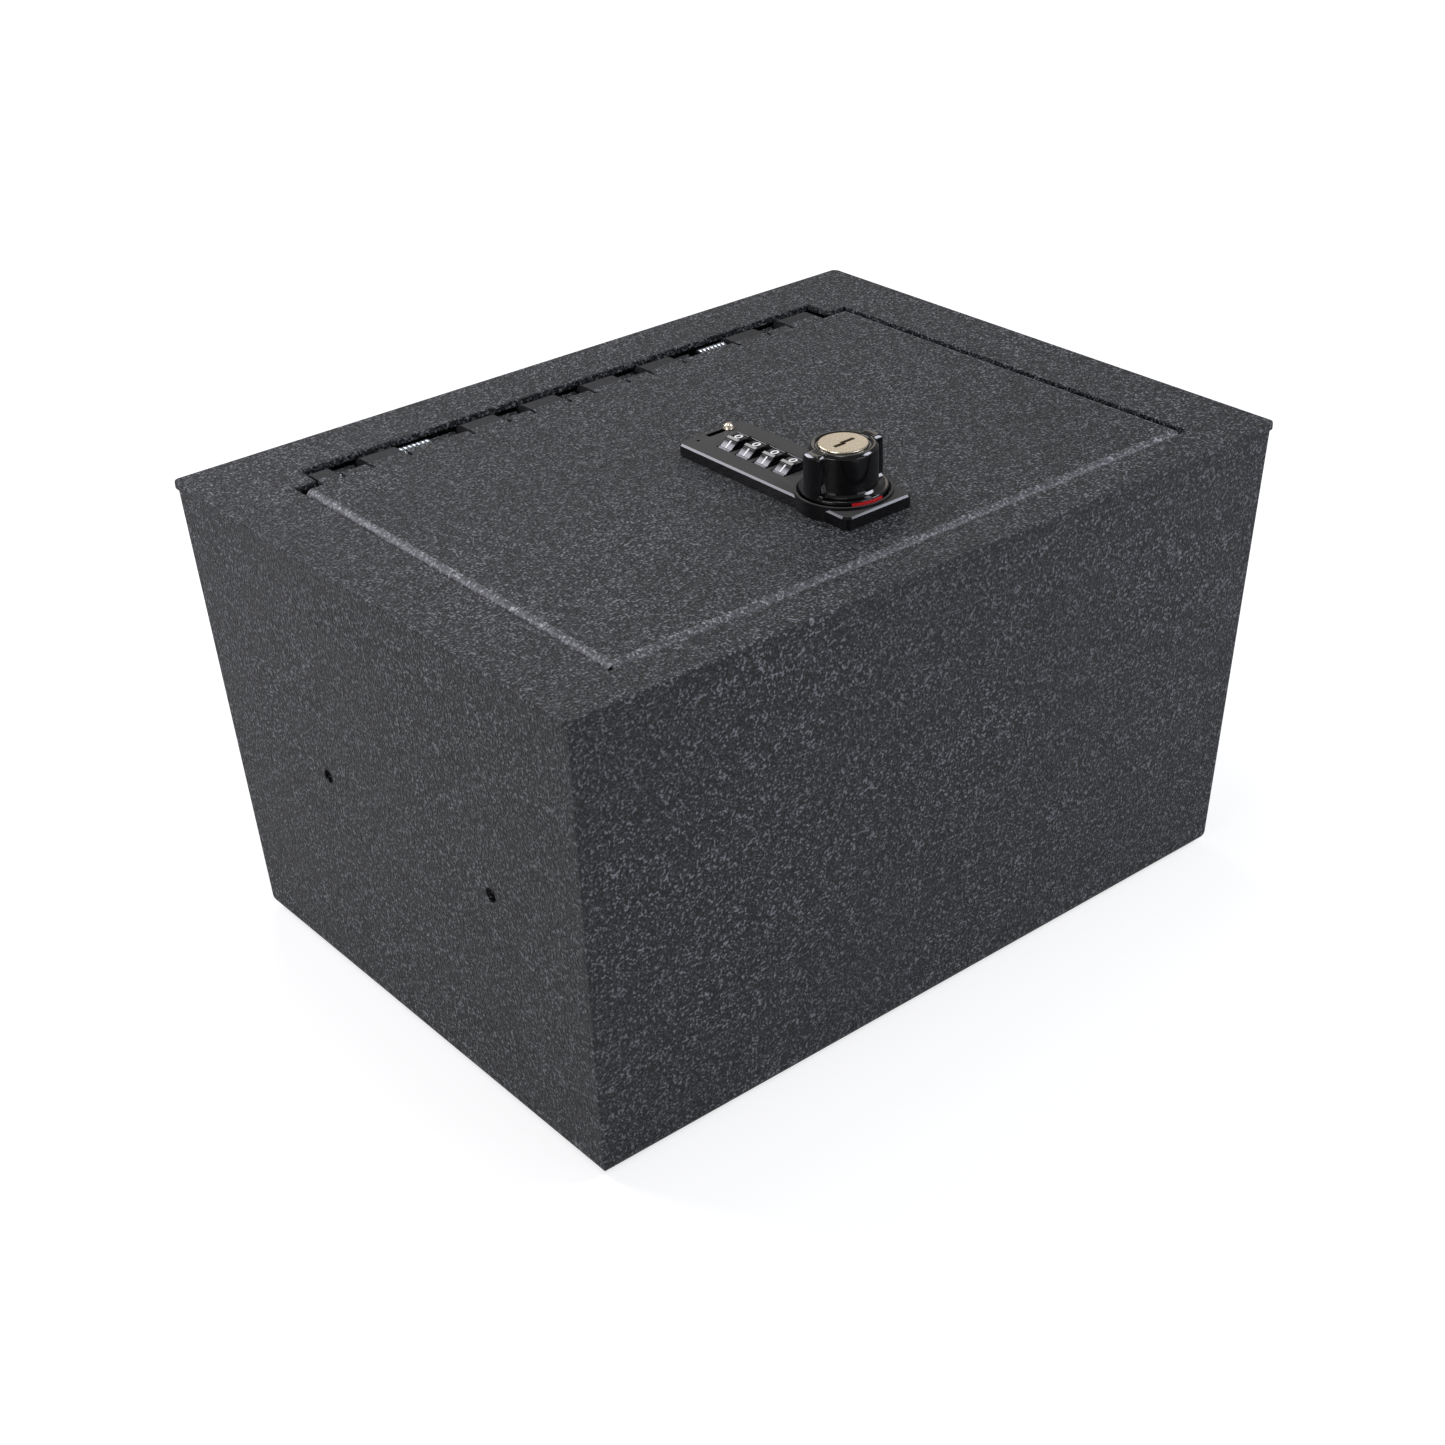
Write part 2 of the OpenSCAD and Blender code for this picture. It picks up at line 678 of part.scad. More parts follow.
sleeve_r = 4.2;
collar_r = sleeve_r + 0.15;
neck_r = 2.9;
collar_t = 0.7;
collar_front = dial_w / 2 + 1.5;              // from the dial's middle to the front of its collar
fin_w = 1.6;
fin_t = 0.6;
function fin_y(i) = first_dial + i * dial_pitch - collar_front + collar_t + 0.1;
bar_end = fin_y(dials - 1) + fin_t + 0.6;

// Inner sleeve that a dial turns, with a gated collar in front of the dial
module code_sleeve(i) {
    color(bright) at_dial(i) difference() {
        union() {
            cylinder(r = sleeve_r, h = dial_w, center = true);
            cylinder(r = neck_r, h = collar_front);
            translate([0, 0, collar_front - collar_t]) cylinder(r = sleeve_r, h = collar_t);
        }
        translate([0, 0, -dial_w]) cylinder(r = axle_r + 0.05, h = 3 * dial_w);
        translate([-fin_w / 2 - 0.2, -2 * sleeve_r, collar_front - collar_t - over / 2])
            cube([fin_w + 0.4, 2 * sleeve_r - neck_r, collar_t + over]);
    }
}

module dial_wheel_1() { dial_wheel(0); }
module dial_wheel_2() { dial_wheel(1); }
module dial_wheel_3() { dial_wheel(2); }
module dial_wheel_4() { dial_wheel(3); }
module code_sleeve_1() { code_sleeve(0); }
module code_sleeve_2() { code_sleeve(1); }
module code_sleeve_3() { code_sleeve(2); }
module code_sleeve_4() { code_sleeve(3); }

// Round core between two wings, on a base disc and a spigot that turns in the stem
module lock_knob() {
    color(gloss) at_lock() difference() {
        union() {
            translate([0, 0, recess_z + 0.1]) cylinder(r = wing_r, h = disc_top - recess_z - 0.1);
            cylinder(r = knob_r, h = knob_h);
            intersection() {
                cylinder(r = wing_r, h = knob_h);
                translate([-wing_r, -wing_w / 2, disc_top - 0.5])
                    cube([2 * wing_r, wing_w, knob_h - disc_top + 0.5]);
            }
            translate([0, 0, -stem_len]) cylinder(r = spigot_r, h = stem_len + lock_t);
        }
        // the core stops at the recess floor
        difference() {
            translate([0, 0, -over]) cylinder(r = knob_r + over, h = over + recess_z + 0.1);
            translate([0, 0, -2 * over]) cylinder(r = spigot_r, h = 3 * over + lock_t);
        }
        translate([0, 0, plug_z]) cylinder(r = plug_r + plug_play, h = knob_h);
        translate([0, 0, 0]) cylinder(r = tail_r + plug_play, h = knob_h);
        translate([0, 0, -stem_len - over]) cylinder(r = tail_r, h = stem_len - 4 + over);
        // cam track of the locking bar: it runs in by the bar's travel over a quarter turn
        translate([0, 0, -case_h - over / 2]) linear_extrude(bar_h + over + 2 * bar_play)
            polygon(concat([for (k = [0:ramp_n]) let (a = 90 + 90 * k / ramp_n)
                (spigot_r - bar_travel * k / ramp_n) * [cos(a), sin(a)]],
                [(spigot_r - bar_travel) * [cos(ramp_end), sin(ramp_end)]],
                [for (a = [ramp_end, 160, 125, 90]) 2 * spigot_r * [cos(a), sin(a)]]));
    }
}
ramp_n = 24;
ramp_end = 194;

module key_cylinder() {
    key_l = 9;
    key_w = 1.5;
    jog = 0.8;
    color(bright) at_lock() difference() {
        union() {
            translate([0, 0, plug_z + 0.1]) cylinder(r = plug_r, h = knob_h + 0.3 - plug_z - 0.1);
            translate([0, 0, 0.1]) cylinder(r = tail_r, h = plug_z);
        }
        translate([0, 0, knob_h - 9]) linear_extrude(12) polygon([[-key_l / 2, -key_w / 2 - jog],
            [0, -key_w / 2 - jog], [0, -key_w / 2], [key_l / 2, -key_w / 2],
            [key_l / 2, key_w / 2], [-1, key_w / 2], [-1, key_w / 2 - jog],
            [-key_l / 2, key_w / 2 - jog]]);
    }
}

module cam_spindle() {
    color(bright) at_lock() difference() {
        union() {
            translate([0, 0, -stem_len]) cylinder(r = tail_r, h = stem_len - 4.1);
            translate([-stud / 2, -stud / 2, cam_z - cam_t + 0.2])
                cube([stud, stud, -stem_len - cam_z + cam_t - 0.2]);
        }
        translate([0, 0, cam_z - cam_t - over]) cylinder(r = screw_r, h = 8 + over, $fn = 32);
    }
}

module cam_washer() {
    color(bright) at_lock() translate([0, 0, -stem_len - washer_t]) difference() {
        cylinder(r = stem_r - 0.5, h = washer_t);
        translate([0, 0, -over]) cylinder(r = stud / sqrt(2) + 0.1, h = washer_t + 2 * over);
    }
}

module cam_latch() {
    hub_r = cam_w / 2 + 3;
    color(bright) at_lock() translate([0, 0, cam_z - cam_t]) linear_extrude(cam_t) difference() {
        union() {
            circle(hub_r);
            translate([0, -cam_w / 2]) square([cam_reach - cam_w / 2, cam_w]);
            translate([cam_reach - cam_w / 2, 0]) circle(cam_w / 2);
        }
        square(cam_bore, center = true);
    }
}

module cam_screw() {
    color(bright) at_lock() translate([0, 0, cam_z - cam_t]) {
        translate([0, 0, -3.2]) difference() {
            cylinder(r = 6, h = 3.2);
            translate([0, 0, -over]) cylinder(r = 2.6, h = 1.6 + over, $fn = 6);
        }
        cylinder(r = screw_r - 0.05, h = 7, $fn = 32);
    }
}

body_pan();
top_frame();
hinge_leaf();
hinge_pin();
torsion_spring_left();
torsion_spring_right();
strike_keeper();
lid_panel();
lock_body();
lock_back_cover();
cover_screws();
stem_clip();
dial_axle();
detent_spring();
locking_bar();
bar_spring();
open_mark();
code_slider();
dial_wheel_1();
dial_wheel_2();
dial_wheel_3();
dial_wheel_4();
code_sleeve_1();
code_sleeve_2();
code_sleeve_3();
code_sleeve_4();
lock_knob();
cam_spindle();
cam_washer();
cam_latch();
cam_screw();
key_cylinder();
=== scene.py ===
"""Dresses the steel console lock box: coated sheet steel, sprung hinge and dial lock.

Lengths that describe a product are in millimetres and become metres where a mesh or a
texture is made. Every finished mesh holds its place in its own vertices. LID_TOP is the
level of the lid's face, and KNOB_Y is where the knob's axis stands on it.
"""

from __future__ import annotations

import json
import logging
import math
from dataclasses import dataclass
from enum import Enum
from typing import Any, Mapping, Sequence

import bmesh
import bpy
import numpy as np
from mathutils import Matrix, Vector

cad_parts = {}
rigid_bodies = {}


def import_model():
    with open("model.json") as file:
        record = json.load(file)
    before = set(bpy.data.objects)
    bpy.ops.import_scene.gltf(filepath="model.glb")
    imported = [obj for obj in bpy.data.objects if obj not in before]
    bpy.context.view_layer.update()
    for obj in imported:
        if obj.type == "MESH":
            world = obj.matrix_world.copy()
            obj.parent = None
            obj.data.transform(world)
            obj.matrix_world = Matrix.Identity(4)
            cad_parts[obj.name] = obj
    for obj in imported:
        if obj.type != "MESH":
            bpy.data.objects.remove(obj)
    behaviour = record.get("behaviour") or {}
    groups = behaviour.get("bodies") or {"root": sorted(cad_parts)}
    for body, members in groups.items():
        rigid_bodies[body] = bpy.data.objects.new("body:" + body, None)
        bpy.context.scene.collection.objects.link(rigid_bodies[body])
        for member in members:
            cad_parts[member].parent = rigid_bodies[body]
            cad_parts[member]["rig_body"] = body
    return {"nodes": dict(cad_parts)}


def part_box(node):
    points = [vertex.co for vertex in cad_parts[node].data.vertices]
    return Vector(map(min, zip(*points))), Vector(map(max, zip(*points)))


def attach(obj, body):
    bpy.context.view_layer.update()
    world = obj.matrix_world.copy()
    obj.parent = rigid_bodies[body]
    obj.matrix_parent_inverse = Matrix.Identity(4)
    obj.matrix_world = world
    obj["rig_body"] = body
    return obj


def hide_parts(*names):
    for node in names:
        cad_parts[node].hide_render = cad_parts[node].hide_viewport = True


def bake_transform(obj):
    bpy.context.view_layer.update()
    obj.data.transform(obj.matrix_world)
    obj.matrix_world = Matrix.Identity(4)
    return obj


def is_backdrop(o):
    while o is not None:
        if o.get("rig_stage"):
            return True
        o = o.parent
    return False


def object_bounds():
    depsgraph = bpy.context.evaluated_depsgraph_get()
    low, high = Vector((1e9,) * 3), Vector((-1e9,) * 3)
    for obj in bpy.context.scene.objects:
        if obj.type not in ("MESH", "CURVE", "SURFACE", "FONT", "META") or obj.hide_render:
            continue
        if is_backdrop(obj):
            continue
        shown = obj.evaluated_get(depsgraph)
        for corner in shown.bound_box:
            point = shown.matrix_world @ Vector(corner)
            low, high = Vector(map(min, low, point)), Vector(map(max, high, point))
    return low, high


LOG = logging.getLogger("lock_box")
MM = 0.001
LID_TOP = 167.3
KNOB_Y = -57.1


# Colour and node helpers


def linear(hex_colour: str) -> tuple[float, float, float, float]:
    """Turns an sRGB hex colour into linear light.

    Args:
        hex_colour: Six hex digits, with or without a leading hash.

    Returns:
        Red, green, blue and an alpha of one.
    """
    digits = hex_colour.lstrip("#")
    channels = [int(digits[i:i + 2], 16) / 255 for i in (0, 2, 4)]
    red, green, blue = (
        c / 12.92 if c <= 0.04045 else ((c + 0.055) / 1.055) ** 2.4 for c in channels
    )
    return red, green, blue, 1.0


def add_node(
    tree: bpy.types.NodeTree,
    kind: str,
    inputs: Mapping[str | int, Any] | None = None,
    **settings: Any,
) -> bpy.types.Node:
    """Adds one node with its settings, values and links.

    Args:
        tree: The node tree that takes the node.
        kind: The node's Blender type name.
        inputs: Input name or number to a value, or to the output socket that feeds it.
        **settings: Properties of the node itself, set before its inputs.

    Returns:
        The new node.
    """
    node = tree.nodes.new(kind)
    for name, value in settings.items():
        setattr(node, name, value)
    for key, value in (inputs or {}).items():
        if isinstance(value, bpy.types.NodeSocket):
            tree.links.new(value, node.inputs[key])
        else:
            node.inputs[key].default_value = value
    return node


def empty_material(name: str) -> tuple[bpy.types.Material, bpy.types.NodeTree]:
    """Makes a node material with nothing in it.

    Args:
        name: The material's name.

    Returns:
        The material and its node tree.
    """
    material = bpy.data.materials.new(name)
    material.use_nodes = True
    material.node_tree.nodes.clear()
    return material, material.node_tree


def per_metre(size_mm: float) -> float:
    """Texture scale at which one cell of a pattern measures size_mm."""
    return 1 / (size_mm * MM)


# Finishes


@dataclass(frozen=True)
class PowderCoat:
    """Textured polyester powder coat, sprayed on steel and oven cured.

    The powder draws together into a crinkled crust, so the sheet never shows a mirror
    image. The pits carry painted shade and the crowns painted glints, as pale grains.
    """

    name: str = "textured_black_powder_coat"
    colour: str = "#38393c"
    pit_colour: str = "#101112"
    speck_colour: str = "#7d8084"
    roughness: float = 0.45
    grain_mm: float = 1.6
    fine_mm: float = 0.8
    relief_mm: float = 1.0
    contrast: float = 1.0
    fine_share: float = 0.62
    ground: tuple[float, float] = (0.08, 0.07)
    peaks: tuple[float, float] = (0.565, 0.64)
    cloud_mm: float = 60.0
    cloud_low: float = 0.55
    cloud_range: tuple[float, float] = (0.3, 0.7)
    dulling: float = 0.06
    ior: float = 1.42

    def build(self) -> bpy.types.Material:
        """Builds the coat.

        Noise of grain_mm and of fine_mm together give the height. Low ground takes
        painted shade, high ground has the coat's colour and the highest crowns take pale
        painted glints. A wide cloud lets the painted glints come and go over a few
        fingers' breadth.

        Returns:
            The coat's material.
        """
        material, tree = empty_material(self.name)
        place = add_node(tree, "ShaderNodeTexCoord").outputs["Object"]
        pebbles = add_node(tree, "ShaderNodeTexNoise", {
            "Vector": place, "Scale": per_metre(self.grain_mm), "Detail": 1.0,
            "Roughness": 0.5, "Distortion": 0.5,
        })
        fine = add_node(tree, "ShaderNodeTexNoise", {
            "Vector": place, "Scale": per_metre(self.fine_mm), "Detail": 1.0,
            "Roughness": 0.55,
        })
        height = add_node(tree, "ShaderNodeMix", {
            "Factor": self.fine_share,
            2: pebbles.outputs["Fac"], 3: fine.outputs["Fac"],
        }, data_type="FLOAT")
        bump = add_node(tree, "ShaderNodeBump", {
            "Height": height.outputs[0], "Strength": 1.0,
            "Distance": self.relief_mm * MM,
        })
        # painted shade: low ground mixes towards the dark pit colour
        crown = add_node(tree, "ShaderNodeMapRange", {
            "Value": height.outputs[0],
            "From Min": 0.5 - self.ground[0] / self.contrast,
            "From Max": 0.5 + self.ground[1] / self.contrast,
        })
        shade = add_node(tree, "ShaderNodeMix", {
            "Factor": crown.outputs["Result"],
            6: linear(self.pit_colour), 7: linear(self.colour),
        }, data_type="RGBA")
        cloud = add_node(tree, "ShaderNodeTexNoise", {
            "Vector": place, "Scale": per_metre(self.cloud_mm), "Detail": 2.0,
        })
        share = add_node(tree, "ShaderNodeMapRange", {
            "Value": cloud.outputs["Fac"],
            "From Min": self.cloud_range[0], "From Max": self.cloud_range[1],
            "To Min": self.cloud_low * self.contrast, "To Max": self.contrast,
        })
        # painted glints: the highest crowns mix towards the pale glint colour
        peak = add_node(tree, "ShaderNodeMapRange", {
            "Value": height.outputs[0],
            "From Min": self.peaks[0], "From Max": self.peaks[1],
        })
        glint = add_node(tree, "ShaderNodeMath", {
            0: peak.outputs["Result"], 1: share.outputs["Result"],
        }, operation="MULTIPLY", use_clamp=True)
        tint = add_node(tree, "ShaderNodeMix", {
            "Factor": glint.outputs["Value"],
            6: shade.outputs[2], 7: linear(self.speck_colour),
        }, data_type="RGBA")
        dull = add_node(tree, "ShaderNodeMapRange", {
            "Value": cloud.outputs["Fac"], "To Min": self.roughness - self.dulling,
            "To Max": self.roughness + self.dulling,
        })
        surface = add_node(tree, "ShaderNodeBsdfPrincipled", {
            "Base Color": tint.outputs[2], "Roughness": dull.outputs["Result"],
            "IOR": self.ior, "Normal": bump.outputs["Normal"],
        })
        add_node(tree, "ShaderNodeOutputMaterial", {"Surface": surface.outputs["BSDF"]})
        return material


def grained_surface(
    name: str, relief: tuple[float, float], strength: float, depth_mm: float,
    haze: tuple[float, float], rough: tuple[float, float], inputs: Mapping[str, Any],
) -> bpy.types.Material:
    """Builds a surface of one colour with a slight relief and uneven roughness.

    Args:
        name: The material's name.
        relief: Cell size in millimetres and detail of the noise that lifts the surface.
        strength: Share of the relief that counts.
        depth_mm: Height of the relief.
        haze: Cell size and detail of the noise that makes the roughness uneven.
        rough: Roughness where that noise is lowest and where it is highest.
        inputs: Further inputs of the surface.

    Returns:
        The material.
    """
    material, tree = empty_material(name)
    place = add_node(tree, "ShaderNodeTexCoord").outputs["Object"]
    height, cloud = (
        add_node(tree, "ShaderNodeTexNoise", {
            "Vector": place, "Scale": per_metre(size_mm), "Detail": detail,
        }).outputs["Fac"]
        for size_mm, detail in (relief, haze)
    )
    level = add_node(tree, "ShaderNodeMapRange", {
        "Value": cloud, "To Min": rough[0], "To Max": rough[1],
    })
    bump = add_node(tree, "ShaderNodeBump", {
        "Height": height, "Strength": strength, "Distance": depth_mm * MM,
    })
    surface = add_node(tree, "ShaderNodeBsdfPrincipled", {
        **inputs, "Roughness": level.outputs["Result"],
        "Normal": bump.outputs["Normal"],
    })
    add_node(tree, "ShaderNodeOutputMaterial", {"Surface": surface.outputs["BSDF"]})
    return material


@dataclass(frozen=True)
class SatinCasting:
    """Zinc die casting under a thin satin black lacquer.

    Smooth with a faint orange peel, so it carries a broad soft sheen. The dust in the
    lacquer is drawn as coarse as it needs to show.
    """

    name: str
    colour: str
    roughness: float
    peel_mm: float = 2.5
    peel: float = 0.2
    relief_mm: float = 0.02
    dust_mm: float = 0.5
    uneven: tuple[float, float] = (0.9, 1.15)
    ior: float = 1.38

    def build(self) -> bpy.types.Material:
        """Builds the lacquer with its orange peel.

        Returns:
            The lacquer's material.
        """
        low, high = self.uneven
        return grained_surface(
            self.name, (self.peel_mm, 2.0), self.peel, self.relief_mm,
            (self.dust_mm, 1.0), (self.roughness * low, self.roughness * high),
            {"Base Color": linear(self.colour), "IOR": self.ior},
        )


@dataclass(frozen=True)
class Moulding:
    """Moulded plastic, polished in the tool.

    A hard gloss skin with very slight sink waves, so highlights stay crisp.
    """

    name: str
    colour: str
    roughness: float
    wave_mm: float = 6.0
    ior: float = 1.5
    wave: float = 0.15
    relief_mm: float = 0.02
    uneven: tuple[float, float] = (0.8, 1.3)

    def build(self) -> bpy.types.Material:
        """Builds the gloss skin with its sink waves.

        Returns:
            The moulding's material.
        """
        grain = (self.wave_mm, 1.0)
        low, high = self.uneven
        return grained_surface(
            self.name, grain, self.wave, self.relief_mm,
            grain, (self.roughness * low, self.roughness * high),
            {"Base Color": linear(self.colour), "IOR": self.ior},
        )


@dataclass(frozen=True)
class Metal:
    """Plated or machined metal, with fine marks left by the tool or the bath.

    The marks blur what the metal mirrors, and are drawn as coarse as they need to show.
    """

    name: str
    colour: str
    roughness: float
    mark_mm: float = 0.4
    mark: float = 0.2
    relief_mm: float = 0.01
    uneven: tuple[float, float] = (0.7, 1.4)

    def build(self) -> bpy.types.Material:
        """Builds the metal with its marks.

        Returns:
            The metal's material.
        """
        grain = (self.mark_mm, 3.0)
        low, high = self.uneven
        return grained_surface(
            self.name, grain, self.mark, self.relief_mm,
            grain, (self.roughness * low, self.roughness * high),
            {"Base Color": linear(self.colour), "Metallic": 1.0},
        )


class Finish(Enum):
    """Every finish on the box; the one over a whole piece names that piece's slot."""

    COAT = "powder_coated_steel"
    THIN_COAT = "smooth_coat_with_painted_knuckle_shade"
    BEND_COAT = "smooth_coat_with_painted_bend_highlight"
    CASTING = "black_zinc_casting"
    RUBBED = "satin_casting_top_with_painted_sheen"
    KNOB = "gloss_black_knob"
    DIAL = "dial_plastic"
    NICKEL = "nickel_plating"
    ZINC = "zinc_plated_steel"
    SPRING = "spring_and_pin_steel"
    BRASS = "brass"
    RED = "red_enamel"
    FIGURE = "figure_paint"


RECIPES: dict[Finish, PowderCoat | SatinCasting | Moulding | Metal] = {
    Finish.COAT: PowderCoat(),
    # knuckles: a smoother coat, darker as painted shade
    Finish.THIN_COAT: PowderCoat(
        name="smooth_powder_coat_painted_shade", colour="#1f2022", pit_colour="#151617",
        speck_colour="#2a2b2d", roughness=0.55, relief_mm=0.15, contrast=0.8,
    ),
    # bends: a smoother coat, lighter as a painted highlight
    Finish.BEND_COAT: PowderCoat(
        name="smooth_powder_coat_painted_highlight", colour="#5c5d61", pit_colour="#37383b",
        speck_colour="#a2a4a8", roughness=0.46, relief_mm=0.3,
    ),
    Finish.CASTING: SatinCasting("black_lacquered_zinc", "#0c0c0e", 0.2),
    # satin top: lighter than the black sides as a painted sheen
    Finish.RUBBED: SatinCasting("satin_lacquer_painted_sheen", "#3b3b3a", 0.5),
    Finish.KNOB: Moulding(
        "gloss_black_moulded_nylon", "#060607", 0.1, wave_mm=9.0, wave=0.05
    ),
    Finish.DIAL: Moulding("gloss_black_moulded_acetal", "#0a0a0c", 0.16, ior=1.42),
    Finish.NICKEL: Metal("polished_nickel_plate", "#e4d9c4", 0.26, 0.3),
    Finish.ZINC: Metal("bright_zinc_plate", "#b9bbbd", 0.3),
    Finish.SPRING: Metal("oiled_spring_wire", "#8b8f92", 0.22, 0.3),
    Finish.BRASS: Metal("turned_brass", "#c9a55a", 0.3),
    Finish.RED: Moulding("red_enamel", "#b3121a", 0.3),
    Finish.FIGURE: Moulding("white_filled_figures", "#f2f2f2", 0.45),
}


class Finishes:
    """Builds each finish once and hands it out."""

    def __init__(self) -> None:
        """Starts with nothing built."""
        self._built: dict[Finish, bpy.types.Material] = {}

    def get(self, finish: Finish) -> bpy.types.Material:
        """Gives out the material for a finish, built on its first use.

        Args:
            finish: The finish.

        Returns:
            Its material.
        """
        if finish not in self._built:
            self._built[finish] = RECIPES[finish].build()
        return self._built[finish]

    def dress(self, piece: bpy.types.Object, finish: Finish) -> None:
        """Puts one finish over a whole piece.

        Args:
            piece: A mesh object.
            finish: The finish that replaces every material slot of it.
        """
        material = self.get(finish)
        if not piece.material_slots:
            piece.data.materials.append(material)
        for slot in piece.material_slots:
            slot.material = material


# Meshes


def placed(name: str, data: bpy.types.ID) -> bpy.types.Object:
    """Puts an object into the scene.

    Args:
        name: The object's name.
        data: The mesh, curve, lamp or camera that it shows.

    Returns:
        The object, at the origin.
    """
    thing = bpy.data.objects.new(name, data)
    bpy.context.scene.collection.objects.link(thing)
    return thing


def mesh_piece(
    name: str, points: np.ndarray, faces: Sequence[Sequence[int]], smooth: bool = True
) -> bpy.types.Object:
    """Makes an object from points and faces.

    Args:
        name: The piece's name.
        points: An (n, 3) array in millimetres.
        faces: Corner numbers, anticlockwise seen from outside.
        smooth: Whether the faces shade smoothly.

    Returns:
        The object, at the origin.
    """
    mesh = bpy.data.meshes.new(name)
    mesh.from_pydata((points * MM).tolist(), [], [list(f) for f in faces])
    mesh.polygons.foreach_set("use_smooth", [smooth] * len(mesh.polygons))
    mesh.update()
    return placed(name, mesh)


def grid_faces(rows: int, columns: int) -> list[tuple[int, int, int, int]]:
    """Faces of a grid of points, laid out in rows that each close on themselves.

    Args:
        rows: Number of rows.
        columns: Points in a row.

    Returns:
        Four corners for each cell.
    """
    r, c = np.meshgrid(np.arange(rows - 1), np.arange(columns), indexing="ij")
    n = (c + 1) % columns
    a, b = r * columns + c, r * columns + n
    cells = np.stack([a, b, b + columns, a + columns], axis=-1).reshape(-1, 4)
    return [tuple(cell) for cell in cells.tolist()]


def tube(path: np.ndarray, radius: float, sides: int) -> tuple[np.ndarray, list]:
    """A round wire along a path, closed at both ends.

    Each ring stands square to the path: its first axis is the X direction with the part
    along the path taken off, its second is the cross product of the two.

    Args:
        path: An (n, 3) array of centre points.
        radius: The wire's radius.
        sides: Points round the wire.

    Returns:
        Points and faces.
    """
    tangent = np.gradient(path, axis=0)
    tangent /= np.linalg.norm(tangent, axis=1, keepdims=True)
    side = np.array([1.0, 0.0, 0.0]) - tangent * tangent[:, :1]
    side /= np.linalg.norm(side, axis=1, keepdims=True)
    other = np.cross(tangent, side)
    turn = circle(sides)
    rings = (
        path[:, None, :]
        + radius * np.cos(turn)[None, :, None] * side[:, None, :]
        + radius * np.sin(turn)[None, :, None] * other[:, None, :]
    )
    count = len(path)
    faces: list = grid_faces(count, sides)
    faces.append(tuple(range(sides))[::-1])
    faces.append(tuple(range((count - 1) * sides, count * sides)))
    return rings.reshape(-1, 3), faces


def skin(rows: np.ndarray, close_rows: bool) -> tuple[np.ndarray, list]:
    """Faces over rows of points, each row closed on itself.

    Args:
        rows: A (row, column, 3) array, from the inside bottom round to the other end.
        close_rows: Whether the last row joins the first. If not, both ends are capped.

    Returns:
        Points and faces.
    """
    count, columns = rows.shape[:2]
    stacked = np.concatenate([rows, rows[:1]]) if close_rows else rows
    faces: list = grid_faces(len(stacked), columns)
    if close_rows:
        size = count * columns
        faces = [tuple(v % size for v in face) for face in faces]
    else:
        faces.append(tuple(range(columns))[::-1])
        faces.append(tuple(range((count - 1) * columns, count * columns)))
    return rows.reshape(-1, 3), faces


def circle(count: int) -> np.ndarray:
    """Angles of a full turn in even steps, in radians."""
    return np.linspace(0, 2 * math.pi, count, endpoint=False)


def swept(
    radii: np.ndarray, levels: np.ndarray, centre: tuple[float, float], columns: int
) -> np.ndarray:
    """Rows of points round an upright axis.

    A point lies its radius from the axis, at its column's angle and its row's level.

    Args:
        radii: One row each, with a radius for all columns or one for each of them.
        levels: Height of each row.
        centre: The axis in X and Y.
        columns: Points round the axis.

    Returns:
        A (row, column, 3) array.
    """
    turn = circle(columns)
    reach = np.broadcast_to(radii, (len(levels), columns))
    height = np.broadcast_to(levels[:, None], reach.shape)
    return np.stack([
        centre[0] + reach * np.cos(turn), centre[1] + reach * np.sin(turn), height,
    ], axis=-1)


def lathe(
    profile: np.ndarray, centre: tuple[float, float], sides: int
) -> tuple[np.ndarray, list]:
    """A turned body: each profile point (radius, height) sweeps a circle.

    Args:
        profile: An (n, 2) array from the bottom to the top.
        centre: The axis in X and Y.
        sides: Points round the axis.

    Returns:
        Points and faces, with a flat cap at each end.
    """
    return skin(swept(profile[:, :1], profile[:, 1], centre, sides), False)


def prism(name: str, outline: np.ndarray, low: float, high: float) -> bpy.types.Object:
    """An upright block: the outline at two levels, with a wall between them.

    Args:
        name: The block's name.
        outline: An (n, 2) array that runs anticlockwise.
        low: Height of its underside.
        high: Height of its top.

    Returns:
        The block.
    """
    count = len(outline)
    levels = np.repeat([low, high], count)[:, None]
    points = np.concatenate([np.concatenate([outline, outline]), levels], axis=1)
    faces: list = grid_faces(2, count)
    faces += [tuple(range(count))[::-1], tuple(range(count, 2 * count))]
    return mesh_piece(name, points, faces, False)


def carve(piece: bpy.types.Object, cutter: bpy.types.Object) -> None:
    """Takes the cutter out of a piece and removes the cutter.

    Args:
        piece: The piece, whose mesh is replaced.
        cutter: A closed mesh.
    """
    cut = piece.modifiers.new("carve", "BOOLEAN")
    cut.operation, cut.solver, cut.object = "DIFFERENCE", "EXACT", cutter
    bpy.context.view_layer.update()
    ready = piece.evaluated_get(bpy.context.evaluated_depsgraph_get())
    mesh = bpy.data.meshes.new_from_object(ready)
    piece.modifiers.clear()
    piece.data = mesh
    bpy.data.objects.remove(cutter)


def shade(piece: bpy.types.Object, sharp_deg: float) -> None:
    """Shades a piece smoothly up to an angle.

    Args:
        piece: A mesh object.
        sharp_deg: Angle between two faces from which their edge stays sharp.
    """
    mesh = piece.data
    mesh.polygons.foreach_set("use_smooth", [True] * len(mesh.polygons))
    mesh.set_sharp_from_angle(angle=math.radians(sharp_deg))


def turn_outwards(piece: bpy.types.Object) -> None:
    """Makes every face of a closed mesh point outwards.

    Args:
        piece: A mesh object.
    """
    work = bmesh.new()
    work.from_mesh(piece.data)
    bmesh.ops.remove_doubles(work, verts=work.verts, dist=1e-7)
    bmesh.ops.recalc_face_normals(work, faces=work.faces)
    work.to_mesh(piece.data)
    work.free()


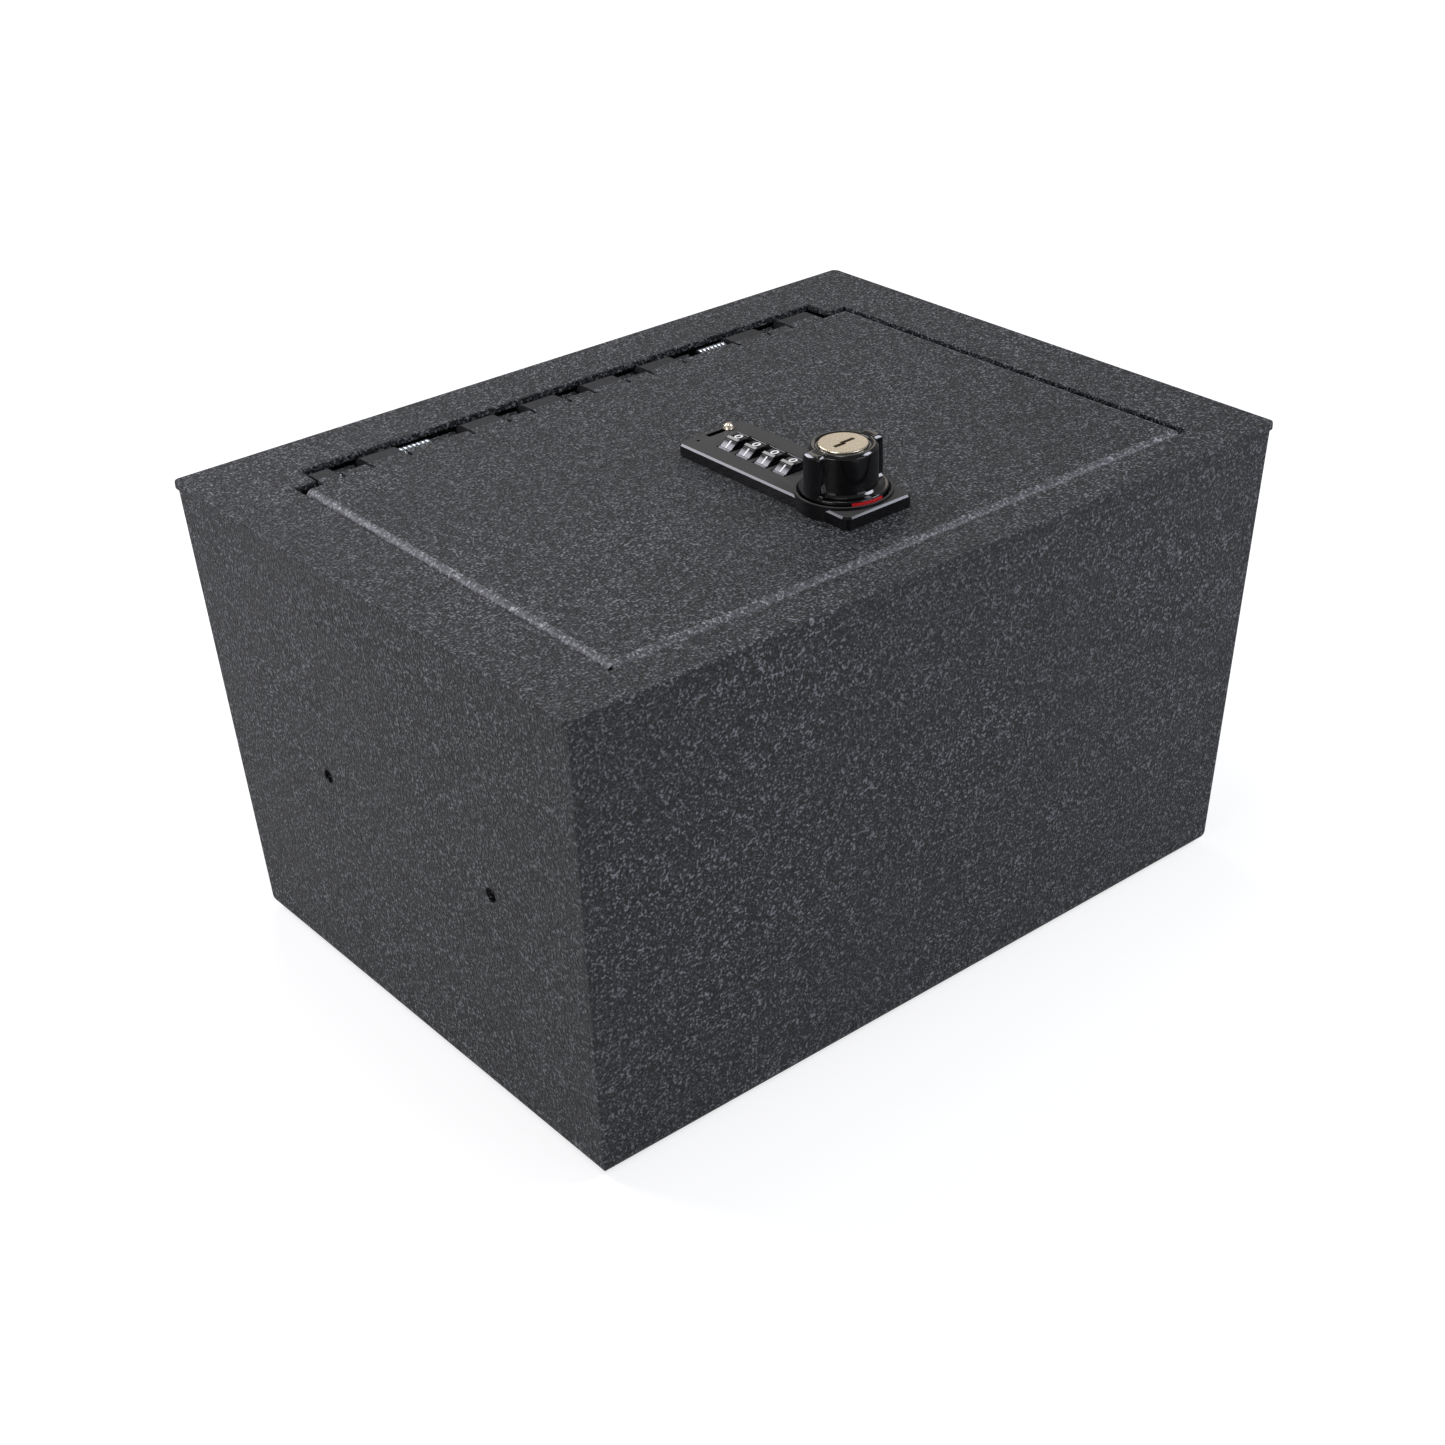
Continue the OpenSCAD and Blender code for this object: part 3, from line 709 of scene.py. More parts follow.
def face_table(mesh: bpy.types.Mesh) -> tuple[np.ndarray, np.ndarray]:
    """Reads where the faces of a mesh lie and which way they look.

    Args:
        mesh: The mesh.

    Returns:
        Centres in metres and normals, each an (n, 3) array.
    """
    table = np.empty((2, 3 * len(mesh.polygons)))
    mesh.polygons.foreach_get("center", table[0])
    mesh.polygons.foreach_get("normal", table[1])
    centre, normal = table.reshape(2, -1, 3)
    return centre, normal


class Frame:
    """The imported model: its nodes and its box, and how a piece takes a node's place."""

    smooth_deg: float = 32.0
    level_deg: float = 0.6
    weld_m: float = 2e-6

    def __init__(self, finishes: Finishes) -> None:
        """Loads the model and keeps its box.

        Args:
            finishes: Where the finishes are built.
        """
        self.finishes = finishes
        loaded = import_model()
        self.nodes: dict[str, bpy.types.Object] = loaded["nodes"]
        self.box = [list(corner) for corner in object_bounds()]

    def span(self, node: str) -> tuple[np.ndarray, np.ndarray]:
        """Lowest and highest corner of a node in millimetres."""
        low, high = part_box(node)
        return np.array(low) / MM, np.array(high) / MM

    def body_of(self, node: str) -> str:
        """The body that a node rides on."""
        return self.nodes[node]["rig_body"]

    def stand_in(self, piece: bpy.types.Object, node: str, finish: Finish) -> None:
        """Dresses a piece and lets it stand for a node, on the node's body.

        Args:
            piece: The new piece.
            node: The node that it stands for.
            finish: Its finish.
        """
        self.finishes.dress(piece, finish)
        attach(piece, self.body_of(node))
        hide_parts(node)
        LOG.info("%s replaces %s", piece.name, node)

    def eased(
        self, node: str, piece: str, bevel_mm: float, finish: Finish, segments: int = 2
    ) -> bpy.types.Object:
        """Replaces a node by a merged copy with eased edges.

        Args:
            node: The node that the piece stands for.
            piece: The new piece's name.
            bevel_mm: Width of the easing.
            finish: Its finish.
            segments: Rows of faces across the easing.

        Returns:
            The new piece, riding on the node's body.
        """
        mesh = self.nodes[node].data.copy()
        mesh.name = piece
        work = bmesh.new()
        work.from_mesh(mesh)
        bmesh.ops.remove_doubles(work, verts=work.verts, dist=self.weld_m)
        bmesh.ops.dissolve_limit(
            work, angle_limit=math.radians(self.level_deg),
            verts=work.verts, edges=work.edges,
        )
        work.to_mesh(mesh)
        work.free()
        copy = placed(piece, mesh)
        shade(copy, self.smooth_deg)
        bevel = copy.modifiers.new("eased_edges", "BEVEL")
        bevel.width = bevel_mm * MM
        bevel.segments = segments
        bevel.limit_method = "ANGLE"
        bevel.angle_limit = math.radians(self.smooth_deg)
        bevel.use_clamp_overlap = True
        bevel.harden_normals = True
        self.stand_in(copy, node, finish)
        return copy

    def kept(self, node: str, finish: Finish) -> None:
        """Keeps a node as it is and gives it a finish."""
        self.finishes.dress(self.nodes[node], finish)
        LOG.info("%s keeps its solid", node)


# Sub-assemblies


@dataclass
class Housing:
    """The folded pan, its rim plate and the steel welded inside."""

    frame: Frame
    wall_edge_mm: float = 0.9
    plate_edge_mm: float = 0.5
    hook_edge_mm: float = 0.35
    keeper_edge_mm: float = 0.4

    def build(self) -> None:
        """Dresses the housing's nodes."""
        self.frame.eased("body_pan", "pan_shell", self.wall_edge_mm, Finish.COAT, 3)
        self.frame.eased("top_frame", "rim", self.plate_edge_mm, Finish.COAT)
        self.frame.eased("hinge_leaf", "hinge_hooks", self.hook_edge_mm, Finish.COAT)
        self.frame.eased("strike_keeper", "keeper_angle", self.keeper_edge_mm,
                         Finish.COAT)
        self.frame.kept("hinge_pin", Finish.SPRING)


@dataclass
class LidPlate:
    """The lid with its bent edges and rolled knuckles."""

    frame: Frame
    edge_mm: float = 0.35
    knuckle_line_mm: float = 75.05
    bend_mm: float = 2.6
    lean: tuple[float, float] = (0.02, 0.985)
    cut_m: float = 1e-6

    def build(self) -> None:
        """Dresses the lid.

        A cut along the root of the knuckles lets them take a smoother coat darkened as
        painted shade, and the faces that lean over the bent edges take a smoother coat
        lightened as a painted highlight.
        """
        lid = self.frame.eased("lid_panel", "lid_plate", self.edge_mm, Finish.COAT)
        for finish in (Finish.THIN_COAT, Finish.BEND_COAT):
            lid.data.materials.append(self.frame.finishes.get(finish))
        work = bmesh.new()
        work.from_mesh(lid.data)
        bmesh.ops.bisect_plane(
            work, geom=work.verts[:] + work.edges[:] + work.faces[:], dist=self.cut_m,
            plane_co=(0.0, self.knuckle_line_mm * MM, 0.0), plane_no=(0.0, 1.0, 0.0),
        )
        work.to_mesh(lid.data)
        work.free()
        _, high = self.frame.span("lid_panel")
        centre, normal = face_table(lid.data)
        rolled = centre[:, 1] > self.knuckle_line_mm * MM
        upright, level = self.lean
        leaning = (normal[:, 2] > upright) & (normal[:, 2] < level)
        near_top = centre[:, 2] > (high[2] - self.bend_mm) * MM
        # slot 0 holds the plain coat, 1 the knuckles' coat with painted shade and 2 the
        # bends' coat with a painted highlight
        slot = np.where(rolled, 1, np.where(leaning & near_top, 2, 0))
        lid.data.polygons.foreach_set("material_index", slot.astype(np.int32))


@dataclass
class HingeSprings:
    """Two torsion springs on the pin, each with a leg under the lid and the rim."""

    frame: Frame
    wire_mm: float = 1.7
    pitch_mm: float = 1.751
    coil_mm: float = 3.65
    pin_y: float = 79.5
    pin_z: float = 161.95
    leg_z: float = 1.65
    lid_leg: float = 20.0
    rim_leg: float = 13.0
    turns: int = 7
    sides: int = 14
    per_turn: int = 40
    leg_steps: int = 8

    def path(self) -> np.ndarray:
        """Centre line of a spring, round the pin axis.

        The first leg runs straight from its tip to the point where it touches the
        coil's circle. The coil is a helix from there: its angle grows evenly while it
        moves along X by one pitch a turn. The last leg leaves along the tangent on the
        other side.

        Returns:
            An (n, 3) array, with X from zero along the pin.
        """
        def touch(y: float) -> tuple[float, float]:
            """Finds where a leg leaves the coil.

            Args:
                y: How far the leg's tip lies from the pin, along Y.

            Returns:
                Angle of the tip, and angle from there to the tangent point, in radians.
            """
            away = math.hypot(y, self.leg_z)
            return math.atan2(self.leg_z, y), math.acos(self.coil_mm / away)

        tip, turn = touch(-self.lid_leg)
        start = tip + turn
        tip, turn = touch(self.rim_leg)
        end = 2 * math.pi * (self.turns + 1) + tip - turn
        wound = (end - start) / (2 * math.pi)
        angle = np.linspace(start, end, int(wound * self.per_turn))
        along = self.wire_mm / 2 + self.pitch_mm * (angle - start) / (2 * math.pi)
        coil = np.stack([
            along, self.coil_mm * np.cos(angle), self.coil_mm * np.sin(angle),
        ], axis=1)
        first_tip = np.array([along[0], -self.lid_leg, self.leg_z])
        last_tip = np.array([along[-1], self.rim_leg, self.leg_z])
        share = np.arange(self.leg_steps)[:, None] / self.leg_steps
        first = first_tip + (coil[0] - first_tip) * share
        last = coil[-1] + (last_tip - coil[-1]) * (share + 1 / self.leg_steps)
        return np.concatenate([first, coil, last])

    def build(self) -> None:
        """Builds both springs, the right one mirrored from the left."""
        for node, piece in (("torsion_spring_left", "spring_left"),
                            ("torsion_spring_right", "spring_right")):
            low, high = self.frame.span(node)
            path = self.path()
            mirrored = node.endswith("right")
            if mirrored:
                path = path * np.array([-1.0, 1.0, 1.0])
            origin = high[0] if mirrored else low[0]
            path = path + np.array([origin, self.pin_y, self.pin_z])
            wire = mesh_piece(piece, *tube(path, self.wire_mm / 2, self.sides))
            if mirrored:
                turn_outwards(wire)
            self.frame.finishes.dress(wire, Finish.SPRING)
            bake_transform(wire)
            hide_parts(node)
            LOG.info("%s replaces %s", piece, node)


@dataclass
class WingedKnob:
    """The knob: a round core with two wings on a base disc, and the spigot under it."""

    frame: Frame
    core_mm: float = 11.0
    wing_mm: float = 14.1
    half_wing_mm: float = 3.5
    disc_low: float = 3.4
    disc_top: float = 6.4
    top: float = 20.0
    rim_mm: float = 0.4
    rim_steps: int = 6
    ease_mm: float = 0.85
    disc_edge_mm: float = 0.3
    foot_mm: float = 0.7
    foot_steps: tuple[float, ...] = (0.0, 0.08, 0.3, 0.7, 0.92, 1.0)
    foot_power: float = 1.1
    foot_band_mm: float = 0.15
    bore_mm: float = 8.05
    hole_mm: float = 4.05
    floor_mm: float = 0.6
    spigot_mm: float = 7.5
    spigot_low: float = -13.3
    spigot_edge_mm: float = 0.2
    overlap_mm: float = 0.1
    track: tuple[float, float] = (-11.2, -8.9)
    track_depth: float = 1.5
    track_deg: tuple[float, float, float] = (90.0, 180.0, 194.0)
    track_wall_mm: float = 0.01
    columns: int = 720
    blurred: int = 5
    smooth_deg: float = 40.0
    edge: tuple[tuple[float, float], ...] = (
        (0.0, 1.4), (0.0, 1.2), (0.03, 1.08), (0.1, 0.95), (0.3, 0.72), (0.7, 0.3),
        (0.93, 0.1), (1.06, 0.03), (1.2, 0.0), (1.35, 0.0),
    )
    collar: tuple[tuple[float, float], ...] = (
        (9.0, 0.0), (8.75, 0.1), (8.65, 0.45), (8.2, 0.45), (8.05, 0.6),
    )

    def outline(self, grow: float = 0.0) -> np.ndarray:
        """Radius of the core and its wings at each angle, grown evenly by a distance.

        A wing's flank lies at half its width over the sine of the angle, held between
        the core's radius and the wing's. A running mean over a few columns rounds the
        corners.

        Args:
            grow: Distance in millimetres that every side moves out by.

        Returns:
            One radius in millimetres for each column.
        """
        turn = circle(self.columns)
        flank = (self.half_wing_mm + grow) / np.maximum(np.abs(np.sin(turn)), 1e-6)
        radius = np.clip(flank, self.core_mm + grow, self.wing_mm + grow)
        window = np.ones(self.blurred) / self.blurred
        beside = self.blurred // 2
        wrapped = np.concatenate([radius[-beside:], radius, radius[:beside]])
        return np.convolve(wrapped, window, mode="valid")

    def grip(self) -> None:
        """Builds the disc, core and wings as rows of points from the bottom to the top.

        Where the disc is narrower than a wing, the wing's radius is used, so a wing
        runs down flush. The top edge and the wings' feet are bevels with soft corners:
        edge holds inset and drop as shares of ease_mm. A collar, as radius and drop
        below the top, and a bore take the key plug.
        """
        around = self.outline()
        flat = np.ones(self.columns)
        radii: list[np.ndarray] = []
        levels: list[float] = []

        def add(radius: np.ndarray, level: float) -> None:
            """Adds one row."""
            radii.append(radius)
            levels.append(level)

        add(flat * (self.wing_mm - self.disc_edge_mm), self.disc_low)
        add(flat * self.wing_mm, self.disc_low + self.disc_edge_mm)
        for step in np.linspace(0, math.pi / 2, self.rim_steps):
            inset = self.rim_mm * (1 - math.cos(step))
            add(np.maximum(flat * (self.wing_mm - inset), around),
                self.disc_top - self.rim_mm + self.rim_mm * math.sin(step))
        shoulder = np.maximum(self.wing_mm - self.rim_mm, around)
        for share in self.foot_steps:
            fillet = self.foot_mm * (1 - share)
            add(np.minimum(self.outline(fillet), shoulder),
                self.disc_top + self.foot_mm * share ** self.foot_power)
        add(around, self.disc_top + self.foot_mm + self.foot_band_mm)
        for inset, drop in self.edge:
            add(self.outline(-self.ease_mm * inset), self.top - self.ease_mm * drop)
        for radius, drop in self.collar:
            add(flat * radius, self.top - drop)
        add(flat * self.bore_mm, self.disc_top + self.floor_mm)
        add(flat * self.hole_mm, self.disc_top + self.floor_mm)
        add(flat * self.hole_mm, self.disc_low)
        self.hand_over("knob_grip", radii, levels)

    def spigot(self) -> None:
        """Builds the hollow spigot with the quarter-turn cam track of the locking bar.

        Between two levels the track lies under the spigot's face: from the first angle
        of track_deg it sinks evenly to its depth at the second, and ends at the third.
        """
        turn = np.degrees(circle(self.columns))
        start, deep, end = self.track_deg
        slope = np.clip((turn - start) / (deep - start), 0, 1)
        sink = np.where((turn > start) & (turn < end), self.track_depth * slope, 0)
        flat = np.ones(self.columns)
        face, hole = flat * self.spigot_mm, flat * self.hole_mm
        low, high = self.track
        edge, sunk = self.spigot_edge_mm, self.spigot_mm - sink
        bottom, top = self.spigot_low, self.disc_low + self.overlap_mm
        radii = [face - edge, face, face, sunk, sunk, face, face, hole, hole]
        levels = [bottom, bottom + edge, low - self.track_wall_mm, low, high,
                  high + self.track_wall_mm, top, top, bottom]
        self.hand_over("knob_spigot", radii, levels)

    def hand_over(
        self, name: str, radii: list[np.ndarray], levels: list[float]
    ) -> None:
        """Skins rows of points and lets the piece stand for the knob's node.

        Args:
            name: The piece's name.
            radii: The rows' radii, each over all columns.
            levels: The rows' levels above the lid.
        """
        rows = swept(np.array(radii), np.array(levels) + LID_TOP, (0.0, KNOB_Y),
                     self.columns)
        piece = mesh_piece(name, *skin(rows, True))
        shade(piece, self.smooth_deg)
        self.frame.stand_in(piece, "lock_knob", Finish.KNOB)

    def build(self) -> None:
        """Builds both pieces of the knob."""
        self.grip()
        self.spigot()


def glyph(
    text: str, size: float, bolder: float, half_thick: float
) -> tuple[np.ndarray, list[tuple[int, ...]]]:
    """Outlines a figure as a thin solid.

    Args:
        text: The figure.
        size: Height of the font's line in millimetres.
        bolder: How far the outline moves outwards, in millimetres.
        half_thick: Half of the solid's thickness in millimetres.

    Returns:
        Points in millimetres, with the face towards +Z, and faces.
    """
    curve = bpy.data.curves.new("figure", "FONT")
    curve.body = text
    curve.size = size
    curve.align_x, curve.align_y = "CENTER", "CENTER"
    curve.offset = bolder
    curve.extrude = half_thick
    holder = placed("figure", curve)
    evaluated = holder.evaluated_get(bpy.context.evaluated_depsgraph_get())
    mesh = bpy.data.meshes.new_from_object(evaluated)
    bpy.data.objects.remove(holder)
    points = np.zeros(len(mesh.vertices) * 3)
    mesh.vertices.foreach_get("co", points)
    faces = [tuple(face.vertices) for face in mesh.polygons]
    bpy.data.meshes.remove(mesh)
    return points.reshape(-1, 3), faces


@dataclass
class DialLock:
    """The four-dial cam lock: casting, dials, knob, key cylinder and cam.

    Levels count from the lid's face. The button's stem and the keyway are outlines
    round their own axes.
    """

    frame: Frame
    casting_edge_mm: float = 0.3
    plate_floor: float = 4.0
    level_from: float = 0.99
    dials: int = 4
    first_dial_y: float = -33.2
    dial_pitch: float = 9.0
    axle_z: float = 166.5
    flats: int = 10
    flat_mm: float = 7.51
    crown_mm: float = 20.0
    ridge_mm: float = 8.05
    ridge_half_mm: float = 0.6
    ridge_flank_mm: float = 0.25
    ridge_drop_mm: float = 0.8
    ridge_power: float = 1.5
    wheel_mm: float = 6.0
    wheel_bore_mm: float = 4.2
    wheel_ease_mm: float = 0.22
    wheel_rows: tuple[tuple[float, float], ...] = (
        (0.0, 1.4), (0.0, 1.0), (0.3, 0.3), (1.0, 0.0),
    )
    wheel_columns: int = 1440
    wheel_smooth_deg: float = 26.0
    figure_mm: tuple[float, float] = (2.5, 3.1)
    figure_share: float = 0.73
    figure_bolder_mm: float = 0.05
    figure_half_mm: float = 0.02
    figure_lift_mm: float = 0.03
    button_at: tuple[float, float] = (5.8, 6.1)
    block_mm: tuple[float, float] = (3.0, 1.2)
    block_levels: tuple[float, float] = (0.1, 1.3)
    stem: tuple[tuple[float, float], ...] = (
        (0.95, 1.2), (0.95, 4.35), (1.82, 4.35), (1.9, 4.43), (1.5, 5.52), (1.42, 5.62),
        (0.72, 6.13), (0.6, 6.15),
    )
    stem_columns: int = 64
    stem_smooth_deg: float = 24.0
    plug_mm: float = 8.0
    plug_neck_mm: float = 4.0
    plug_levels: tuple[float, float] = (0.1, 7.1)
    plug_ease_mm: float = 0.35
    plug_columns: int = 128
    plug_smooth_deg: float = 20.0
    keyway_mm: float = 9.3
    keyway_over_mm: float = 2.0
    keyway: tuple[tuple[float, float], ...] = (
        (-4.5, -1.55), (0.0, -1.55), (0.0, -0.75), (4.5, -0.75),
        (4.5, 0.75), (-1.0, 0.75), (-1.0, -0.05), (-4.5, -0.05),
    )
    mark_radii: tuple[float, float] = (14.26, 14.74)
    mark_deg: tuple[float, float] = (238.0, 282.0)
    mark_levels: tuple[float, float] = (3.35, 5.9)
    mark_columns: int = 45
    plated: tuple[tuple[str, str, float], ...] = (
        ("cam_latch", "cam_bar", 0.25), ("stem_clip", "horseshoe_clip", 0.3),
        ("lock_back_cover", "back_cover", 0.2),
    )
    zinc: tuple[str, ...] = (
        "cover_screws", "cam_washer", "cam_screw", "cam_spindle", "locking_bar",
    )
    brass: tuple[str, ...] = (
        "dial_axle", "code_sleeve_1", "code_sleeve_2", "code_sleeve_3", "code_sleeve_4",
    )
    springs: tuple[str, ...] = ("detent_spring", "bar_spring")

    def build(self) -> None:
        """Dresses the lock's nodes and adds the dials' figures."""
        self.casting()
        WingedKnob(self.frame).build()
        self.plug()
        self.button()
        for node, name, edge_mm in self.plated:
            self.frame.eased(node, name, edge_mm, Finish.ZINC)
        for nodes, finish in (
            (self.zinc, Finish.ZINC), (self.brass, Finish.BRASS),
            (self.springs, Finish.SPRING),
        ):
            for node in nodes:
                self.frame.kept(node, finish)
        self.mark()
        size = self.figure_mm[1] / self.figure_share
        glyphs = [
            glyph(str(digit), size, self.figure_bolder_mm, self.figure_half_mm)
            for digit in range(self.flats)
        ]
        for number in range(self.dials):
            self.wheel(number)
            self.figures(number, glyphs)

    def casting(self) -> None:
        """Dresses the casting: gloss lacquer, satin with painted sheen on its top."""
        cast = self.frame.eased("lock_body", "lock_casting", self.casting_edge_mm,
                                Finish.CASTING, 3)
        cast.data.materials.append(self.frame.finishes.get(Finish.RUBBED))
        # the flat top takes the satin lacquer whose lighter colour is a painted sheen
        centre, normal = face_table(cast.data)
        raised = centre[:, 2] > (LID_TOP + self.plate_floor) * MM
        top = (normal[:, 2] > self.level_from) & raised
        cast.data.polygons.foreach_set("material_index", top.astype(np.int32))

    def mark(self) -> None:
        """Builds the open mark: a sector between two arcs that stands just proud."""
        turn = np.radians(np.linspace(*self.mark_deg, self.mark_columns))
        arc = np.stack([np.cos(turn), np.sin(turn)], axis=1)
        inner, outer = self.mark_radii
        outline = np.concatenate([arc * outer, arc[::-1] * inner])
        low, high = self.mark_levels
        sector = prism("red_open_mark", outline + np.array([0.0, KNOB_Y]),
                       LID_TOP + low, LID_TOP + high)
        self.frame.stand_in(sector, "open_mark", Finish.RED)

    def button(self) -> None:
        """Builds the code button: a block in its slot and a stem with a cone head."""
        corners = np.array([[-1, -1], [1, -1], [1, 1], [-1, 1]])
        low, high = self.block_levels
        block = prism("code_button_block", corners * self.block_mm + self.button_at,
                      LID_TOP + low, LID_TOP + high)
        self.frame.stand_in(block, "code_slider", Finish.NICKEL)
        profile = np.array(self.stem) + np.array([0.0, LID_TOP])
        stem = mesh_piece("code_button_stem",
                          *lathe(profile, self.button_at, self.stem_columns))
        shade(stem, self.stem_smooth_deg)
        self.frame.stand_in(stem, "code_slider", Finish.NICKEL)

    def wheel(self, number: int) -> None:
        """Builds a dial: ten slightly crowned flats with a finger ridge between them.

        A flat is an arc of crown_mm whose top lies flat_mm from the axle. Near the
        corner between two flats the ridge's level counts instead: flat on top, with
        sloping flanks. The rim is eased at both ends, by the insets and depths of
        wheel_rows as shares of wheel_ease_mm, and the bore goes through.

        Args:
            number: The dial, counted from zero at the knob.
        """
        turn = circle(self.wheel_columns)
        step = 2 * math.pi / self.flats
        off = (turn + step / 2) % step - step / 2
        middle = self.flat_mm - self.crown_mm
        crown = middle * np.cos(off) + np.sqrt(
            self.crown_mm ** 2 - (middle * np.sin(off)) ** 2)
        aside = crown * np.sin(step / 2 - np.abs(off))
        down = np.clip((aside - self.ridge_half_mm) / self.ridge_flank_mm, 0, 1)
        drop = down ** self.ridge_power * self.ridge_drop_mm
        reach = np.maximum(crown, self.ridge_mm - drop)
        bore = np.full_like(reach, self.wheel_bore_mm)
        half, ease = self.wheel_mm / 2, self.wheel_ease_mm
        rim = [(reach - inset * ease, depth * ease) for inset, depth in self.wheel_rows]
        rim.append((bore, 0.0))
        radius = np.array([r for r, _ in rim[::-1] + rim])
        places = [d - half for _, d in rim[::-1]] + [half - d for _, d in rim]
        along = np.broadcast_to(np.array(places)[:, None], radius.shape)
        rows = np.stack([
            -radius * np.sin(turn),
            along + self.first_dial_y + number * self.dial_pitch,
            radius * np.cos(turn) + self.axle_z,
        ], axis=-1)
        piece = mesh_piece(f"dial_{number + 1}_rim", *skin(rows, True))
        turn_outwards(piece)
        shade(piece, self.wheel_smooth_deg)
        self.frame.stand_in(piece, f"dial_wheel_{number + 1}", Finish.DIAL)

    def plug(self) -> None:
        """Turns the key cylinder's plug and cuts its crooked keyway.

        The profile runs up the neck, out to the plug's radius and up to an eased edge.
        """
        _, high = self.frame.span("key_cylinder")
        top, radius, ease = float(high[2]), self.plug_mm, self.plug_ease_mm
        low, shoulder = self.plug_levels
        profile = np.array([
            [self.plug_neck_mm, LID_TOP + low], [self.plug_neck_mm, LID_TOP + shoulder],
            [radius, LID_TOP + shoulder], [radius, top - ease],
            [radius - 0.3 * ease, top - 0.3 * ease], [radius - ease, top],
        ])
        turned = lathe(profile, (0.0, KNOB_Y), self.plug_columns)
        body = mesh_piece("key_plug_face", *turned, False)
        cutter = prism("keyway_cutter", np.array(self.keyway) + np.array([0.0, KNOB_Y]),
                       top - self.keyway_mm, top + self.keyway_over_mm)
        carve(body, cutter)
        shade(body, self.plug_smooth_deg)
        self.frame.stand_in(body, "key_cylinder", Finish.NICKEL)

    def figures(
        self, number: int, glyphs: list[tuple[np.ndarray, list[tuple[int, ...]]]]
    ) -> None:
        """Puts the ten figures on a dial.

        A figure is set upright in its own plane, moved out to its flat, and turned
        about the dial's axle by a tenth of a turn for each step. Its right is -Y, its
        top is +X and its face is +Z.

        Args:
            number: The dial, counted from zero at the knob.
            glyphs: Points and faces of each figure, from zero up.
        """
        parts: list[np.ndarray] = []
        faces: list[list[int]] = []
        total = 0
        centre_y = self.first_dial_y + number * self.dial_pitch
        fit = np.array(self.figure_mm) / np.ptp(glyphs[0][0][:, :2], axis=0)
        for digit, (flat, corners) in enumerate(glyphs):
            middle = (flat[:, :2].max(axis=0) + flat[:, :2].min(axis=0)) / 2
            across = -(flat[:, 0] - middle[0]) * fit[0]
            upward = (flat[:, 1] - middle[1]) * fit[1]
            out = flat[:, 2] + self.flat_mm + self.figure_lift_mm
            turn = 2 * math.pi * digit / self.flats
            x = upward * math.cos(turn) - out * math.sin(turn)
            z = upward * math.sin(turn) + out * math.cos(turn)
            parts.append(np.stack([x, across + centre_y, z + self.axle_z], 1))
            faces += [[corner + total for corner in face] for face in corners]
            total += len(flat)
        points = np.concatenate(parts)
        piece = mesh_piece(f"dial_{number + 1}_figures", points, faces, False)
        self.frame.finishes.dress(piece, Finish.FIGURE)
        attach(piece, f"dial_{number + 1}")
        LOG.info("%s added", piece.name)


# Studio


@dataclass(frozen=True)
class Softbox:
    """A rectangular lamp that looks at the box."""

    name: str
    place: tuple[float, float, float]
    size: tuple[float, float]
    watts: float
    colour: str = "#ffffff"
    target: tuple[float, float, float] = (0.0, 0.0, 0.12)

    def build(self) -> None:
        """Hangs the lamp."""
        lamp = bpy.data.lights.new(self.name, "AREA")
        lamp.shape = "RECTANGLE"
        lamp.size, lamp.size_y = self.size
        lamp.energy = self.watts
        lamp.color = linear(self.colour)[:3]
        holder = placed(self.name, lamp)
        back = Vector(self.place) - Vector(self.target)
        holder.location = self.place
        holder.rotation_mode = "QUATERNION"
        holder.rotation_quaternion = back.to_track_quat("Z", "Y")


